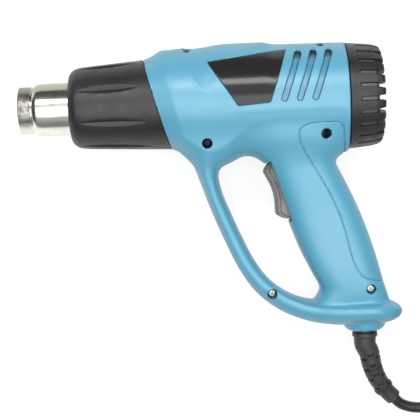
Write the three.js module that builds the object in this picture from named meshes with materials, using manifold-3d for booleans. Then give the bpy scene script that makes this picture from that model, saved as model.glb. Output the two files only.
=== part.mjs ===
// A hot air tool with a closed guard-loop handle, lying on its right side on a table.
// The tool frame: x runs back along the barrel from the mouth of the outlet, y is up, z is to the left.
// Lengths are millimetres, angles are degrees.
import * as THREE from "three";
import { mergeVertices } from "three/addons/utils/BufferGeometryUtils.js";
import Module from "manifold-3d";

const wasm = await Module();
wasm.setup();

// Clearances
const GAP = 0.3;
const RUNNING_GAP = 0.8;

// Barrel, from the mouth of the outlet back to the end of the cap
const COLLAR_START = 39.5;
const COLLAR_LENGTH = 62.8;
const HOUSING_LENGTH = 134.4;
const CAP_LENGTH = 25.6;
const SEAM_TILT = 15.4;
const SEAM_TILT_RUN = 52;
const COLLAR_FRONT_RADIUS = 29.5;
const SEAM_RADIUS = 32.7;
const BARREL_RADIUS = 38.4;
const HUMP = 2.9;
const WALL = 2.6;
const WEB_HALF_HEIGHT = 11;
const COLLAR_WALL = 3;

// Outlet tube
const TUBE_RADIUS = 19;
const TIP_RADIUS = 17;
const TIP_LENGTH = 11.5;
const TUBE_WALL = 1;
const TUBE_SEAT = 125;
const TUBE_FLANGE = 4;

// Grip, guard loop and base
const BASE_DROP = 158;
const GRIP_HALF_WIDTH = 20;
const STRAP_HALF_WIDTH = 10;
const BASE_HALF_WIDTH = 24;
const BOSS_RADIUS = 15.8;
const BOSS_END_RADIUS = 10.8;
const BOSS_LENGTH = 15;
const CORD_SETBACK = 9.2;
const CORD_HOLE_RADIUS = 7.3;
const BOSS_FLOOR = 4.4;
const RELIEF_FLANGE_THICKNESS = 3;
const RELIEF_FLANGE_WIDTH = 2.4;

// Screws
const SCREW_HEAD_RADIUS = 3.1;
const SCREW_HEAD_HEIGHT = 2.3;
const SCREW_SHANK_RADIUS = 1.5;
const SCREW_LENGTH = 16;
const SCREW_BOSS_RADIUS = 4.7;
const COUNTERBORE_RADIUS = 3.7;

// Rear cap
const CAP_WALL = 2.8;
const CAP_RIM_WALL = 5;
const CAP_GROOVES = 24;
const CAP_GROOVE_WIDTH = 3;
const CAP_GROOVE_DEPTH = 1.2;
const CAP_GROOVE_START = 7.4;
const CAP_NOTCH_DEPTH = 6.8;
const CAP_NOTCH_WIDTH = 3.5;
const CAP_PHASE = 3.7;
const CAP_DISC_THICKNESS = 2.4;
const CAP_SLOTS = 12;

// Rocker switch
const ROCKER_DROP = 66.5;
const ROCKER_HALF_LENGTH = 22.5;
const ROCKER_HALF_WIDTH = 9;
const ROCKER_NOSE = 12.3;
const ROCKER_WAIST = 9.4;
const ROCKER_CROWN = 2.6;
const ROCKER_TILT = 6.4;
const ROCKER_SETBACK = 6;
const PIVOT_RADIUS = 1.4;

// Motor, fan and their holder
const MOTOR_RADIUS = 14;
const MOTOR_LENGTH = 30;
const MOTOR_SETBACK = 11.5;
const SHAFT_RADIUS = 1.25;
const ARMATURE_RADIUS = 9.4;
const FAN_CLEARANCE = 8.4;
const FAN_LENGTH = 10;
const FAN_BLADES = 7;
const FAN_HUB_RADIUS = 7.5;
const FAN_CHORD = 8.2;
const MAGNET_HALF_GAP = 3;
const SHROUD_WALL = 1.8;

// Heater
const FORMER_RADIUS = 13.2;
const FORMER_LENGTH = 88;
const FORMER_START = 30;
const COIL_TURNS = 8;
const COIL_WIRE_RADIUS = 0.55;
const SLEEVE_WALL = 0.6;

// Cord, laid on the table
const CORD_RADIUS = 4;
const COIL_PITCH = 8.7;
const COIL_RADIUS = 60;
const COIL_LAYER_TURNS = 2.375;
const COIL_LIFT = 1.4;
const TIE_THICKNESS = 1;

// Places that follow from the sizes above
const SEAM = COLLAR_START + COLLAR_LENGTH;
const CAP_SEAM = SEAM + HOUSING_LENGTH;
const REAR_END = CAP_SEAM + CAP_LENGTH;
const CORD_X = CAP_SEAM + CORD_SETBACK;
const BOSS_END = -BASE_DROP - BOSS_LENGTH;
const INNER_RADIUS = BARREL_RADIUS - WALL;
// The fan and the air guide are as wide as the housing's inner wall lets them be.
const FAN_RADIUS = INNER_RADIUS - FAN_CLEARANCE;
const GUIDE_RADIUS = FAN_RADIUS;
const RADIANS = Math.PI / 180;

// Solids: join, cut and meet closed meshes

function solid(geometry) {
  const plain = geometry.clone();
  for (const name of Object.keys(plain.attributes)) {
    if (name !== "position") plain.deleteAttribute(name);
  }
  const merged = mergeVertices(plain, 1e-4);
  const triVerts = new Uint32Array(merged.index.array);
  const vertProperties = merged.attributes.position.array;
  const made = new wasm.Manifold(new wasm.Mesh({ numProp: 3, vertProperties, triVerts }));
  if (made.volume() > 0) return made;
  for (let i = 0; i < triVerts.length; i += 3) {
    [triVerts[i + 1], triVerts[i + 2]] = [triVerts[i + 2], triVerts[i + 1]];
  }
  return new wasm.Manifold(new wasm.Mesh({ numProp: 3, vertProperties, triVerts }));
}

const join = (...parts) => parts.reduce((a, b) => a.add(b));
const cut = (body, ...tools) => tools.reduce((a, b) => a.subtract(b), body);

function geometryOf(body) {
  const mesh = body.getMesh();
  const position = new Float32Array(mesh.numVert * 3);
  for (let i = 0; i < mesh.numVert; i++) {
    position.set(mesh.vertProperties.subarray(i * mesh.numProp, i * mesh.numProp + 3), i * 3);
  }
  const geometry = new THREE.BufferGeometry();
  geometry.setAttribute("position", new THREE.BufferAttribute(position, 3));
  geometry.setIndex(new THREE.BufferAttribute(mesh.triVerts, 1));
  geometry.computeVertexNormals();
  return geometry;
}

// Shape helpers

// A smooth value between stations [[at, value], ...], flat beyond both ends.
function through(stations) {
  const slope = (i) => {
    const a = stations[Math.max(i - 1, 0)];
    const b = stations[Math.min(i + 1, stations.length - 1)];
    return (b[1] - a[1]) / (b[0] - a[0]);
  };
  return (at) => {
    const last = stations.length - 1;
    if (at <= stations[0][0]) return stations[0][1];
    if (at >= stations[last][0]) return stations[last][1];
    const i = stations.findIndex((s) => s[0] > at) - 1;
    const [x0, y0] = stations[i];
    const [x1, y1] = stations[i + 1];
    const t = (at - x0) / (x1 - x0);
    const h = x1 - x0;
    const rise = slope(i) * h * (t ** 3 - 2 * t * t + t) + slope(i + 1) * h * (t ** 3 - t * t);
    return y0 * (2 * t ** 3 - 3 * t * t + 1) + y1 * (3 * t * t - 2 * t ** 3) + rise;
  };
}

// The strips of triangles between neighbouring rings of equally many points.
function strips(rings, pairs) {
  const count = rings[0].length;
  const index = [];
  for (const [from, to] of pairs) {
    for (let i = 0; i < count; i++) {
      const next = (i + 1) % count;
      const corners = [from * count + i, from * count + next, to * count + next, to * count + i];
      index.push(corners[0], corners[1], corners[2], corners[0], corners[2], corners[3]);
    }
  }
  return index;
}

const inOrder = (rings) => rings.slice(1).map((_, r) => [r, r + 1]);

function meshOf(position, index) {
  const geometry = new THREE.BufferGeometry();
  geometry.setAttribute("position", new THREE.Float32BufferAttribute(position, 3));
  geometry.setIndex(index);
  return solid(geometry);
}

// A hollow body whose rings run out over it and back inside it to the first one.
function sleeveOf(rings) {
  const position = rings.flat().flatMap((p) => [p.x, p.y, p.z]);
  return meshOf(position, strips(rings, [...inOrder(rings), [rings.length - 1, 0]]));
}

// A closed body through rings of equally many points, capped at both ends.
function loft(rings) {
  const count = rings[0].length;
  const position = rings.flat().flatMap((p) => [p.x, p.y, p.z]);
  const index = strips(rings, inOrder(rings));
  for (const [row, turned] of [[0, true], [rings.length - 1, false]]) {
    const centre = rings[row].reduce((sum, p) => sum.add(p), new THREE.Vector3());
    centre.divideScalar(count);
    const hub = position.length / 3;
    position.push(centre.x, centre.y, centre.z);
    for (let i = 0; i < count; i++) {
      const a = row * count + i;
      const b = row * count + ((i + 1) % count);
      index.push(...(turned ? [hub, b, a] : [hub, a, b]));
    }
  }
  return meshOf(position, index);
}

// A body of revolution about the barrel's axis: points are [x, radius].
function turned(points, segments = 32) {
  const profile = points.map(([x, radius]) => new THREE.Vector2(radius, x));
  profile.push(profile[0].clone());
  const geometry = new THREE.LatheGeometry(profile, segments);
  return solid(geometry.rotateZ(-Math.PI / 2));
}

// A solid disc or rod along the barrel's axis.
function rod(from, to, radius, segments = 24, y = 0, z = 0) {
  const geometry = new THREE.CylinderGeometry(radius, radius, to - from, segments);
  geometry.rotateZ(-Math.PI / 2);
  return solid(geometry.translate((from + to) / 2, y, z));
}

// A rod across the tool, along z.
function pin(x, y, from, to, radius, segments = 20) {
  const geometry = new THREE.CylinderGeometry(radius, radius, to - from, segments);
  geometry.rotateX(Math.PI / 2);
  return solid(geometry.translate(x, y, (from + to) / 2));
}

// A rod along y.
function post(x, z, from, to, radius, segments = 24) {
  const geometry = new THREE.CylinderGeometry(radius, radius, to - from, segments);
  return solid(geometry.translate(x, (from + to) / 2, z));
}

function block(x0, x1, y0, y1, z0, z1) {
  const geometry = new THREE.BoxGeometry(x1 - x0, y1 - y0, z1 - z0);
  return solid(geometry.translate((x0 + x1) / 2, (y0 + y1) / 2, (z0 + z1) / 2));
}

// An outline in x and y, carried along z.
function plate(outline, z0, z1) {
  const shape = new THREE.Shape(outline.map(([x, y]) => new THREE.Vector2(x, y)));
  const options = { depth: z1 - z0, bevelEnabled: false };
  return solid(new THREE.ExtrudeGeometry(shape, options).translate(0, 0, z0));
}

// A round tube on a curve.
function tubeOn(curve, radius, sides, steps) {
  const section = new THREE.Shape();
  for (let i = 0; i < sides; i++) {
    const turn = (2 * Math.PI * i) / sides;
    const corner = [radius * Math.cos(turn), radius * Math.sin(turn)];
    if (i) section.lineTo(...corner);
    else section.moveTo(...corner);
  }
  section.closePath();
  return new THREE.ExtrudeGeometry(section, { steps, extrudePath: curve, curveSegments: 1 });
}

// The distance from the axis to the flats of a round with straight sides.
const flats = (radius, sides) => radius * Math.cos(Math.PI / sides);

// Rings square to a line of points, each with its own radius.
function ringsAlong(points, radii, sides) {
  const side = new THREE.Vector3(0, 0, 1);
  return points.map((p, i) => {
    const before = points[Math.max(i - 1, 0)];
    const after = points[Math.min(i + 1, points.length - 1)];
    const along = after.clone().sub(before).normalize();
    side.addScaledVector(along, -side.dot(along)).normalize();
    const other = along.clone().cross(side);
    const ring = [];
    for (let k = 0; k < sides; k++) {
      const turn = (2 * Math.PI * k) / sides;
      const out = side.clone().multiplyScalar(Math.cos(turn) * radii[i]);
      ring.push(out.addScaledVector(other, Math.sin(turn) * radii[i]).add(p));
    }
    return ring;
  });
}

// Barrel: rings that lean with the front seam and stand upright further back

const tiltAt = (s) => SEAM_TILT * RADIANS * Math.max(0, 1 - Math.max(0, s - SEAM) / SEAM_TILT_RUN);
const sideAt = through([
  [SEAM, SEAM_RADIUS],
  [SEAM + 5.2, SEAM_RADIUS + 1.3],
  [SEAM + 10, BARREL_RADIUS - 2.6],
  [SEAM + 13, BARREL_RADIUS - 1],
  [SEAM + 20, BARREL_RADIUS - 0.3],
  [SEAM + 35, BARREL_RADIUS + 0.2],
  [CAP_SEAM, BARREL_RADIUS],
]);
const topAt = through([
  [SEAM, SEAM_RADIUS],
  [SEAM + 5.2, SEAM_RADIUS + 1.6],
  [SEAM + 9.5, BARREL_RADIUS - 2.2],
  [SEAM + 13, BARREL_RADIUS - 0.2],
  [SEAM + 18.7, BARREL_RADIUS + 0.22 * HUMP],
  [SEAM + 30, BARREL_RADIUS + 0.6 * HUMP],
  [SEAM + 48, BARREL_RADIUS + HUMP],
  [SEAM + 74.5, BARREL_RADIUS + HUMP],
  [SEAM + 81, BARREL_RADIUS + 0.5 * HUMP],
  [SEAM + 88, BARREL_RADIUS + 0.4 * HUMP],
  [CAP_SEAM, BARREL_RADIUS + 0.2],
]);
const BARREL_STATIONS = [0, 5.2, 7.6, 10, 13, 20, 34, 50, 74.5, 81, 88, HOUSING_LENGTH];
const HOLLOW_STATIONS = [0, 7.6, 13, 34, 74.5, 88, HOUSING_LENGTH];
const BARREL_SIDES = 28;
const HOLLOW_SIDES = 16;

function barrelRing(s, inset, sides) {
  const ring = [];
  for (let i = 0; i < sides; i++) {
    const turn = (2 * Math.PI * i) / sides;
    const up = Math.sin(turn);
    const y = up * ((up > 0 ? topAt(s) : sideAt(s)) - inset);
    const z = Math.cos(turn) * (sideAt(s) - inset);
    ring.push(new THREE.Vector3(s - y * Math.tan(tiltAt(s)), y, z));
  }
  return ring;
}

const barrelBody = () => loft(BARREL_STATIONS.map((s) => barrelRing(SEAM + s, 0, BARREL_SIDES)));

// The barrel's surface moved in by an inset and run past both seams.
function barrelCore(inset, beyond = 5, sides = BARREL_SIDES) {
  const stations = [-beyond, ...HOLLOW_STATIONS, HOUSING_LENGTH + beyond];
  return loft(stations.map((s) => barrelRing(SEAM + s, inset, sides)));
}

// Grip: rings level with the barrel, wide front to back and rounded

const gripFront = through([
  [0.09, CAP_SEAM - 76],
  [0.21, CAP_SEAM - 70],
  [0.27, CAP_SEAM - 62],
  [0.35, CAP_SEAM - 55.4],
  [0.46, CAP_SEAM - 48.9],
  [0.58, CAP_SEAM - 42.7],
  [0.7, CAP_SEAM - 35.8],
  [0.81, CAP_SEAM - 27.7],
  [0.87, CAP_SEAM - 23.1],
  [0.9, CAP_SEAM - 23.4],
  [0.94, CAP_SEAM - 28],
]);
const gripRear = through([
  [0.09, CAP_SEAM - 1],
  [0.22, CAP_SEAM - 2.6],
  [0.25, CAP_SEAM - 6.2],
  [0.285, CAP_SEAM - 8.5],
  [0.32, CAP_SEAM - 6.6],
  [0.4, CAP_SEAM - 0.6],
  [0.51, CAP_SEAM + 7.1],
  [0.63, CAP_SEAM + 13.9],
  [0.74, CAP_SEAM + 19.1],
  [0.86, CAP_SEAM + 23.9],
  [0.94, CAP_SEAM + 27.6],
]);
const gripWidth = through([
  [0.09, GRIP_HALF_WIDTH + 9],
  [0.22, GRIP_HALF_WIDTH + 4],
  [0.34, GRIP_HALF_WIDTH + 0.4],
  [0.5, GRIP_HALF_WIDTH],
  [0.88, GRIP_HALF_WIDTH + 0.5],
  [0.96, GRIP_HALF_WIDTH + 2.2],
]);
const GRIP_LEVELS = [0.09, 0.22, 0.255, 0.285, 0.32, 0.42, 0.56, 0.7, 0.8, 0.88, 0.92, 0.97];
const GRIP_HOLLOW_LEVELS = [0.09, 0.22, 0.285, 0.42, 0.56, 0.7, 0.8, 0.88, 0.985];
const GRIP_SIDES = 20;
const GRIP_SQUARENESS = 2.3;

const rounded = (value, power) => Math.sign(value) * Math.abs(value) ** (2 / power);

function gripBody(inset, levels, sides) {
  const rings = levels.map((level) => {
    const front = gripFront(level) + inset;
    const rear = gripRear(level) - inset;
    const width = gripWidth(level) - inset;
    const ring = [];
    for (let i = 0; i < sides; i++) {
      const turn = (2 * Math.PI * i) / sides;
      const x = (front + rear) / 2 + ((rear - front) / 2) * rounded(Math.cos(turn), GRIP_SQUARENESS);
      const z = width * rounded(Math.sin(turn), GRIP_SQUARENESS);
      ring.push(new THREE.Vector3(x, -level * BASE_DROP, z));
    }
    return ring;
  });
  return loft(rings);
}

// Guard loop and base flange: one band between an outer and an inner line, from barrel to rear lobe.
// Each row is the outer x and drop, the inner x and drop, and the half width.

const front = (x) => SEAM + x;
const rear = (x) => CAP_SEAM + x;
const BAND = [
  [front(13), 0.13, front(60), 0.13, STRAP_HALF_WIDTH + 6],
  [front(20.5), 0.24, front(51), 0.255, STRAP_HALF_WIDTH + 2.4],
  [front(25), 0.31, front(41.4), 0.31, STRAP_HALF_WIDTH + 0.6],
  [front(31.1), 0.428, front(42.8), 0.398, STRAP_HALF_WIDTH],
  [front(37.4), 0.541, front(49.1), 0.511, STRAP_HALF_WIDTH],
  [front(44.6), 0.654, front(56.4), 0.623, STRAP_HALF_WIDTH],
  [front(52.8), 0.769, front(64.3), 0.731, STRAP_HALF_WIDTH],
  [front(64.8), 0.885, front(74.7), 0.827, STRAP_HALF_WIDTH + 0.3],
  [rear(-52.6), 0.975, rear(-45.3), 0.899, STRAP_HALF_WIDTH + 1.6],
  [rear(-30.9), 1.034, rear(-28.7), 0.938, STRAP_HALF_WIDTH + 5],
  [rear(-12), 1.054, rear(-11), 0.944, BASE_HALF_WIDTH - 2.5],
  [rear(5), 1.056, rear(5), 0.944, BASE_HALF_WIDTH],
  [rear(20), 1.054, rear(20), 0.947, BASE_HALF_WIDTH - 1.5],
  [rear(29), 1.044, rear(29), 0.955, BASE_HALF_WIDTH - 7],
  [rear(35), 1.025, rear(35), 0.975, BASE_HALF_WIDTH - 14],
  [rear(37.2), 1.006, rear(37.2), 0.994, BASE_HALF_WIDTH - 20],
];
const BAND_RINGS = 20;
const BAND_SIDES = 12;

const bandLine = (x, drop) => {
  const points = BAND.map((row) => new THREE.Vector3(row[x], -row[drop] * BASE_DROP, row[4]));
  return new THREE.CatmullRomCurve3(points, false, "centripetal");
};
const bandOuter = bandLine(0, 1);
const bandInner = bandLine(2, 3);

function bandBody(inset, from, to, count, sides) {
  const rings = [];
  for (let r = 0; r <= count; r++) {
    const at = from + ((to - from) * r) / count;
    const outer = bandOuter.getPoint(at);
    const inner = bandInner.getPoint(at);
    const width = Math.max(outer.z - inset, 0.5);
    outer.z = 0;
    inner.z = 0;
    const middle = outer.clone().lerp(inner, 0.5);
    const half = outer.sub(middle);
    half.setLength(Math.max(half.length() - inset, 0.5));
    const ring = [];
    for (let i = 0; i < sides; i++) {
      const turn = (2 * Math.PI * i) / sides;
      const p = middle.clone().addScaledVector(half, rounded(Math.cos(turn), 2.1));
      p.z = width * rounded(Math.sin(turn), 2.1);
      ring.push(p);
    }
    rings.push(ring);
  }
  return loft(rings);
}

// The middle of the band at a share of its length.
const bandMiddle = (at) => bandOuter.getPoint(at).lerp(bandInner.getPoint(at), 0.5);

// Cord boss under the base: points are [drop below the axis, radius]
function bossBody(points) {
  const profile = points.map(([drop, radius]) => new THREE.Vector2(radius, -drop));
  profile.push(profile[0].clone());
  return solid(new THREE.LatheGeometry(profile, 20).translate(CORD_X, 0, 0));
}

// Rocker switch frame: u runs down the grip's front, v points out of it
const gripLean = Math.atan2(gripFront(0.56) - gripFront(0.3), 0.26 * BASE_DROP) / RADIANS;
const PIVOT_X = gripFront(ROCKER_DROP / BASE_DROP) + ROCKER_SETBACK * Math.cos(gripLean * RADIANS);
const PIVOT_Y = -ROCKER_DROP + ROCKER_SETBACK * Math.sin(gripLean * RADIANS);

// Turns a body drawn with +x down the grip and +y out of it into the tool frame, at the pivot.
function atPivot(body, tilt = 0) {
  const drawn = body.rotate([0, 0, tilt]).scale([1, -1, 1]);
  return drawn.rotate([0, 0, gripLean - 90]).translate([PIVOT_X, PIVOT_Y, 0]);
}

// Screws: x, y, height of the head's seat above the middle plane
const H3 = bandMiddle(0.505);
const SCREWS = [
  [SEAM + 34.2, -28.6, 9],
  [CAP_SEAM - 16.7, -25.4, 9],
  [H3.x, H3.y, 3.2],
  [gripRear(0.881) - 12, -0.881 * BASE_DROP, 10.5],
  [SEAM + 22.4, BARREL_RADIUS - 2.9, 8],
  [CAP_SEAM - 17, BARREL_RADIUS - 2.9, 8],
];

// Label and cooling slots on the barrel's side, drawn in x and y
const LABEL = [
  [SEAM + 37.9, 27.2],
  [SEAM + 90.4, 33.6],
  [SEAM + 80.3, -1.6],
  [SEAM + 60, -3.6],
  [SEAM + 55, -1.2],
];
const LABEL_DEPTH = 1.2;
const SLOT_TOPS = [CAP_SEAM - 35.4, CAP_SEAM - 24.6, CAP_SEAM - 13.8];
const SLOT_LEAN = 9.1;
const SLOT_TOP = 31.5;
const SLOT_BOTTOM = 0.4;
const SLOT_HALF_WIDTH = 2.3;
const SLOT_DEPTH = 1.5;

// Outline moved towards its middle by a margin.
function inward(outline, margin) {
  const middle = [0, 1].map((k) => outline.reduce((sum, p) => sum + p[k], 0) / outline.length);
  return outline.map((p) => {
    const away = Math.hypot(p[0] - middle[0], p[1] - middle[1]);
    return [0, 1].map((k) => p[k] + ((middle[k] - p[k]) * margin) / away);
  });
}

function slotOutline(x) {
  const outline = [];
  const half = Math.hypot(SLOT_LEAN, SLOT_TOP - SLOT_BOTTOM) / 2;
  const lean = Math.atan2(SLOT_LEAN, SLOT_TOP - SLOT_BOTTOM);
  for (let i = 0; i < 8; i++) {
    const turn = (Math.PI * (i < 4 ? i : i - 1)) / 3;
    const end = i < 4 ? half : -half;
    const u = SLOT_HALF_WIDTH * Math.cos(turn);
    const v = end + SLOT_HALF_WIDTH * Math.sin(turn);
    outline.push([
      x - SLOT_LEAN / 2 + u * Math.cos(lean) + v * Math.sin(lean),
      (SLOT_TOP + SLOT_BOTTOM) / 2 - u * Math.sin(lean) + v * Math.cos(lean),
    ]);
  }
  return outline;
}

// Housing

function housingShells() {
  const deepest = BARREL_RADIUS + HUMP;
  const wide = 2 * BARREL_RADIUS;
  const outer = join(
    barrelBody(),
    gripBody(0, GRIP_LEVELS, GRIP_SIDES),
    bandBody(0, 0, 1, BAND_RINGS, BAND_SIDES),
    bossBody([
      [BASE_DROP - 2, 0],
      [BASE_DROP - 2, BOSS_RADIUS],
      [BASE_DROP + 9, BOSS_RADIUS - 0.4],
      [-BOSS_END - 0.8, BOSS_END_RADIUS + 0.6],
      [-BOSS_END, BOSS_END_RADIUS],
      [-BOSS_END, 0],
    ]),
  );
  const hollow = join(
    barrelCore(WALL, 12, HOLLOW_SIDES),
    gripBody(WALL, GRIP_HOLLOW_LEVELS, 14),
    bandBody(WALL, 0.06, 0.9, 12, 8),
    post(CORD_X, 0, BOSS_END + BOSS_FLOOR, -BASE_DROP + 12, 10, 16),
    post(CORD_X, 0, BOSS_END - 5, BOSS_END + 6, CORD_HOLE_RADIUS, 16),
  );
  const inside = barrelCore(WALL - 0.6, 0.1, HOLLOW_SIDES);
  const web = (x, thickness, held, sides) => {
    const across = block(x, x + thickness, -WEB_HALF_HEIGHT, WEB_HALF_HEIGHT, -deepest, deepest);
    return cut(across, rod(x - 1, x + thickness + 1, held + GAP, sides)).intersect(inside);
  };
  const webs = join(
    web(TUBE_SEAT - 2.3 - GAP, 2.3, TUBE_RADIUS, TUBE_SIDES),
    web(GUIDE_WEB, 2.2, GUIDE_RADIUS, GUIDE_SIDES),
    web(SHROUD_WEB, 2.4, FAN_RADIUS + RUNNING_GAP + SHROUD_WALL, SHROUD_SIDES),
  );
  // The hollow is cut after the joins, so that the barrel doesn't close off the grip or the band inside.
  let shell = join(cut(outer, hollow), webs);
  const openingHalf = ROCKER_HALF_WIDTH + 0.5;
  const opening = block(-ROCKER_HALF_LENGTH - 1, ROCKER_HALF_LENGTH + 1, -2, 12, -openingHalf, openingHalf);
  const pocketHalf = ROCKER_HALF_WIDTH + 2 * GAP + EAR;
  const pocket = block(-5, 5, -12, EAR_TOP + GAP, -pocketHalf, pocketHalf);
  shell = cut(shell, atPivot(join(opening, pocket)));
  for (const x of SLOT_TOPS) {
    const slot = plate(slotOutline(x), -wide, wide);
    shell = cut(shell, cut(slot, barrelCore(SLOT_DEPTH)));
  }
  shell = cut(shell, cut(plate(LABEL, -wide, wide), barrelCore(LABEL_DEPTH)));

  const box = [0, REAR_END + wide, BOSS_END - wide, wide];
  let left = shell.intersect(block(...box, GAP / 2, wide));
  let right = shell.intersect(block(...box, -wide, -GAP / 2));
  const solidBody = cut(outer, block(...box, -GAP / 2, GAP / 2));
  for (const [x, y, seat] of SCREWS) {
    const boss = pin(x, y, -wide, wide, SCREW_BOSS_RADIUS, 10).intersect(solidBody);
    left = left.add(boss.intersect(block(...box, GAP / 2, wide)));
    right = right.add(boss.intersect(block(...box, -wide, -GAP / 2)));
    left = cut(left, pin(x, y, seat, wide, COUNTERBORE_RADIUS, 12));
    left = cut(left, pin(x, y, -1, seat + 1, SCREW_SHANK_RADIUS + GAP, 8));
    right = cut(right, pin(x, y, seat - SCREW_LENGTH - 1, 1, SCREW_SHANK_RADIUS + GAP, 8));
  }
  // Clamp posts and the capacitor's shelf stand in the right shell.
  const floor = outer.intersect(block(...box, -wide, CLAMP_SEAT));
  for (const side of [-1, 1]) {
    const x = CORD_X + side * CLAMP_SPAN;
    right = right.add(pin(x, CLAMP_Y, -wide, CLAMP_SEAT, 3.2, 10).intersect(floor));
    right = cut(right, pin(x, CLAMP_Y, CLAMP_SEAT - 9, CLAMP_SEAT + 1, SCREW_SHANK_RADIUS + GAP, 8));
  }
  const shelf = block(
    CAPACITOR.x - 8, CAPACITOR.x + 8, CAPACITOR.y - 1, CAPACITOR.y + 1, -wide, -CAPACITOR.depth / 2 - GAP,
  );
  right = right.add(shelf.intersect(outer));
  const rest = [SWITCH.x + 2, SWITCH.x + 9, SWITCH.y - 1, SWITCH.y + 2];
  const seat = SWITCH.halfWidth + GAP;
  right = right.add(block(...rest, -wide, -seat).intersect(outer));
  left = left.add(block(...rest, seat, wide).intersect(outer));
  return { left, right };
}

// Sizes that the housing shares with what it holds
const TUBE_SIDES = 24;
const GUIDE_SIDES = 20;
const SHROUD_SIDES = 24;
const EAR = 1;
const EAR_TOP = 2.1;
const GUIDE_WEB = TUBE_SEAT + 42;
const SHROUD_WEB = CAP_SEAM - 9.8;
const CLAMP_SEAT = 4.4;
const CLAMP_SPAN = 8.5;
const CLAMP_Y = -BASE_DROP + 8;
const CAPACITOR = { x: CAP_SEAM - 9, y: -0.7 * BASE_DROP, width: 20, height: 13, depth: 12 };
const SWITCH_DEPTH = 20;
const SWITCH_HALF_LENGTH = 13;
const TERMINAL_SPACING = 9;
const SWITCH = {
  x: PIVOT_X + (SWITCH_DEPTH / 2 + 4) * Math.cos(gripLean * RADIANS),
  y: PIVOT_Y + (SWITCH_DEPTH / 2 + 4) * Math.sin(gripLean * RADIANS),
  halfWidth: ROCKER_HALF_WIDTH + 0.6,
};

// Front collar: rings that lean into the seam, a bore for the tube and a spigot inside the housing
const collarRadius = through([
  [COLLAR_START, COLLAR_FRONT_RADIUS - 7],
  [COLLAR_START + 0.6, COLLAR_FRONT_RADIUS - 4.9],
  [COLLAR_START + 2.3, COLLAR_FRONT_RADIUS - 2.8],
  [COLLAR_START + 5, COLLAR_FRONT_RADIUS - 1.2],
  [COLLAR_START + 9, COLLAR_FRONT_RADIUS - 0.3],
  [COLLAR_START + 14, COLLAR_FRONT_RADIUS + 0.2],
  [SEAM, SEAM_RADIUS - 0.1],
]);
const COLLAR_SIDES = 24;
const FLUTES = 8;
const FLUTE_HALF_LENGTH = 23;
const FLUTE_HALF_WIDTH = 2.8;
const FLUTE_DEPTH = 1.6;

function collarRing(s, radius) {
  const share = Math.min(1, Math.max(0, (s - COLLAR_START - 15) / (COLLAR_LENGTH - 15)));
  const slope = Math.tan(SEAM_TILT * RADIANS * share);
  const ring = [];
  for (let i = 0; i < COLLAR_SIDES; i++) {
    const turn = (2 * Math.PI * i) / COLLAR_SIDES;
    const y = radius * Math.sin(turn);
    ring.push(new THREE.Vector3(s - y * slope, y, radius * Math.cos(turn)));
  }
  return ring;
}

function frontCollar() {
  const spigot = flats(SEAM_RADIUS - WALL, HOLLOW_SIDES) - GAP;
  const face = COLLAR_LENGTH - GAP;
  const outside = [0.6, 2.3, 5, 9, 15, face].map((s) => [s, collarRadius(COLLAR_START + s)]);
  const profile = [
    [0, TUBE_RADIUS + 0.6],
    [0, collarRadius(COLLAR_START)],
    ...outside,
    [face, spigot],
    [COLLAR_LENGTH + 5, spigot],
    [COLLAR_LENGTH + 5, spigot - 2.4],
    [face - 3, spigot - 2.4],
    [15, COLLAR_FRONT_RADIUS - COLLAR_WALL],
    [5, COLLAR_FRONT_RADIUS - COLLAR_WALL - 2],
    [4, TUBE_RADIUS + 0.6],
  ];
  let body = sleeveOf(profile.map(([s, radius]) => collarRing(COLLAR_START + s, radius)));
  const middle = COLLAR_START + 0.51 * COLLAR_LENGTH;
  const lean = Math.atan((collarRadius(SEAM) - COLLAR_FRONT_RADIUS) / (COLLAR_LENGTH - 14)) / RADIANS;
  for (let i = 0; i < FLUTES; i++) {
    const ball = new THREE.SphereGeometry(1, 6, 8);
    ball.rotateZ(Math.PI / 2);
    ball.scale(FLUTE_HALF_LENGTH, FLUTE_DEPTH, FLUTE_HALF_WIDTH);
    const flute = solid(ball).rotate([0, 0, lean]).translate([middle, collarRadius(middle), 0]);
    body = cut(body, flute.rotate([(360 * (i + 0.5)) / FLUTES, 0, 0]));
  }
  return body;
}

// Outlet tube: tip ring, groove, shoulder, long tube and the flange that the housing holds
function outletTube() {
  const flangeEnd = TUBE_SEAT + 1.5;
  return turned([
    [0.4, TIP_RADIUS - 2.4],
    [0, TIP_RADIUS - 1.4],
    [1.5, TIP_RADIUS],
    [TIP_LENGTH, TIP_RADIUS],
    [TIP_LENGTH + 0.7, TIP_RADIUS - 0.7],
    [TIP_LENGTH + 1.6, TIP_RADIUS],
    [TIP_LENGTH + 4, TUBE_RADIUS - 0.7],
    [TIP_LENGTH + 7, TUBE_RADIUS],
    [TUBE_SEAT, TUBE_RADIUS],
    [TUBE_SEAT, TUBE_RADIUS + TUBE_FLANGE],
    [flangeEnd, TUBE_RADIUS + TUBE_FLANGE],
    [flangeEnd, TUBE_RADIUS - TUBE_WALL],
    [TIP_LENGTH + 7, TUBE_RADIUS - TUBE_WALL],
    [TIP_LENGTH + 2, TIP_RADIUS - 1.6],
    [2, TIP_RADIUS - 1.6],
    [1.6, TIP_RADIUS - 2.4],
  ], TUBE_SIDES);
}

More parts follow.
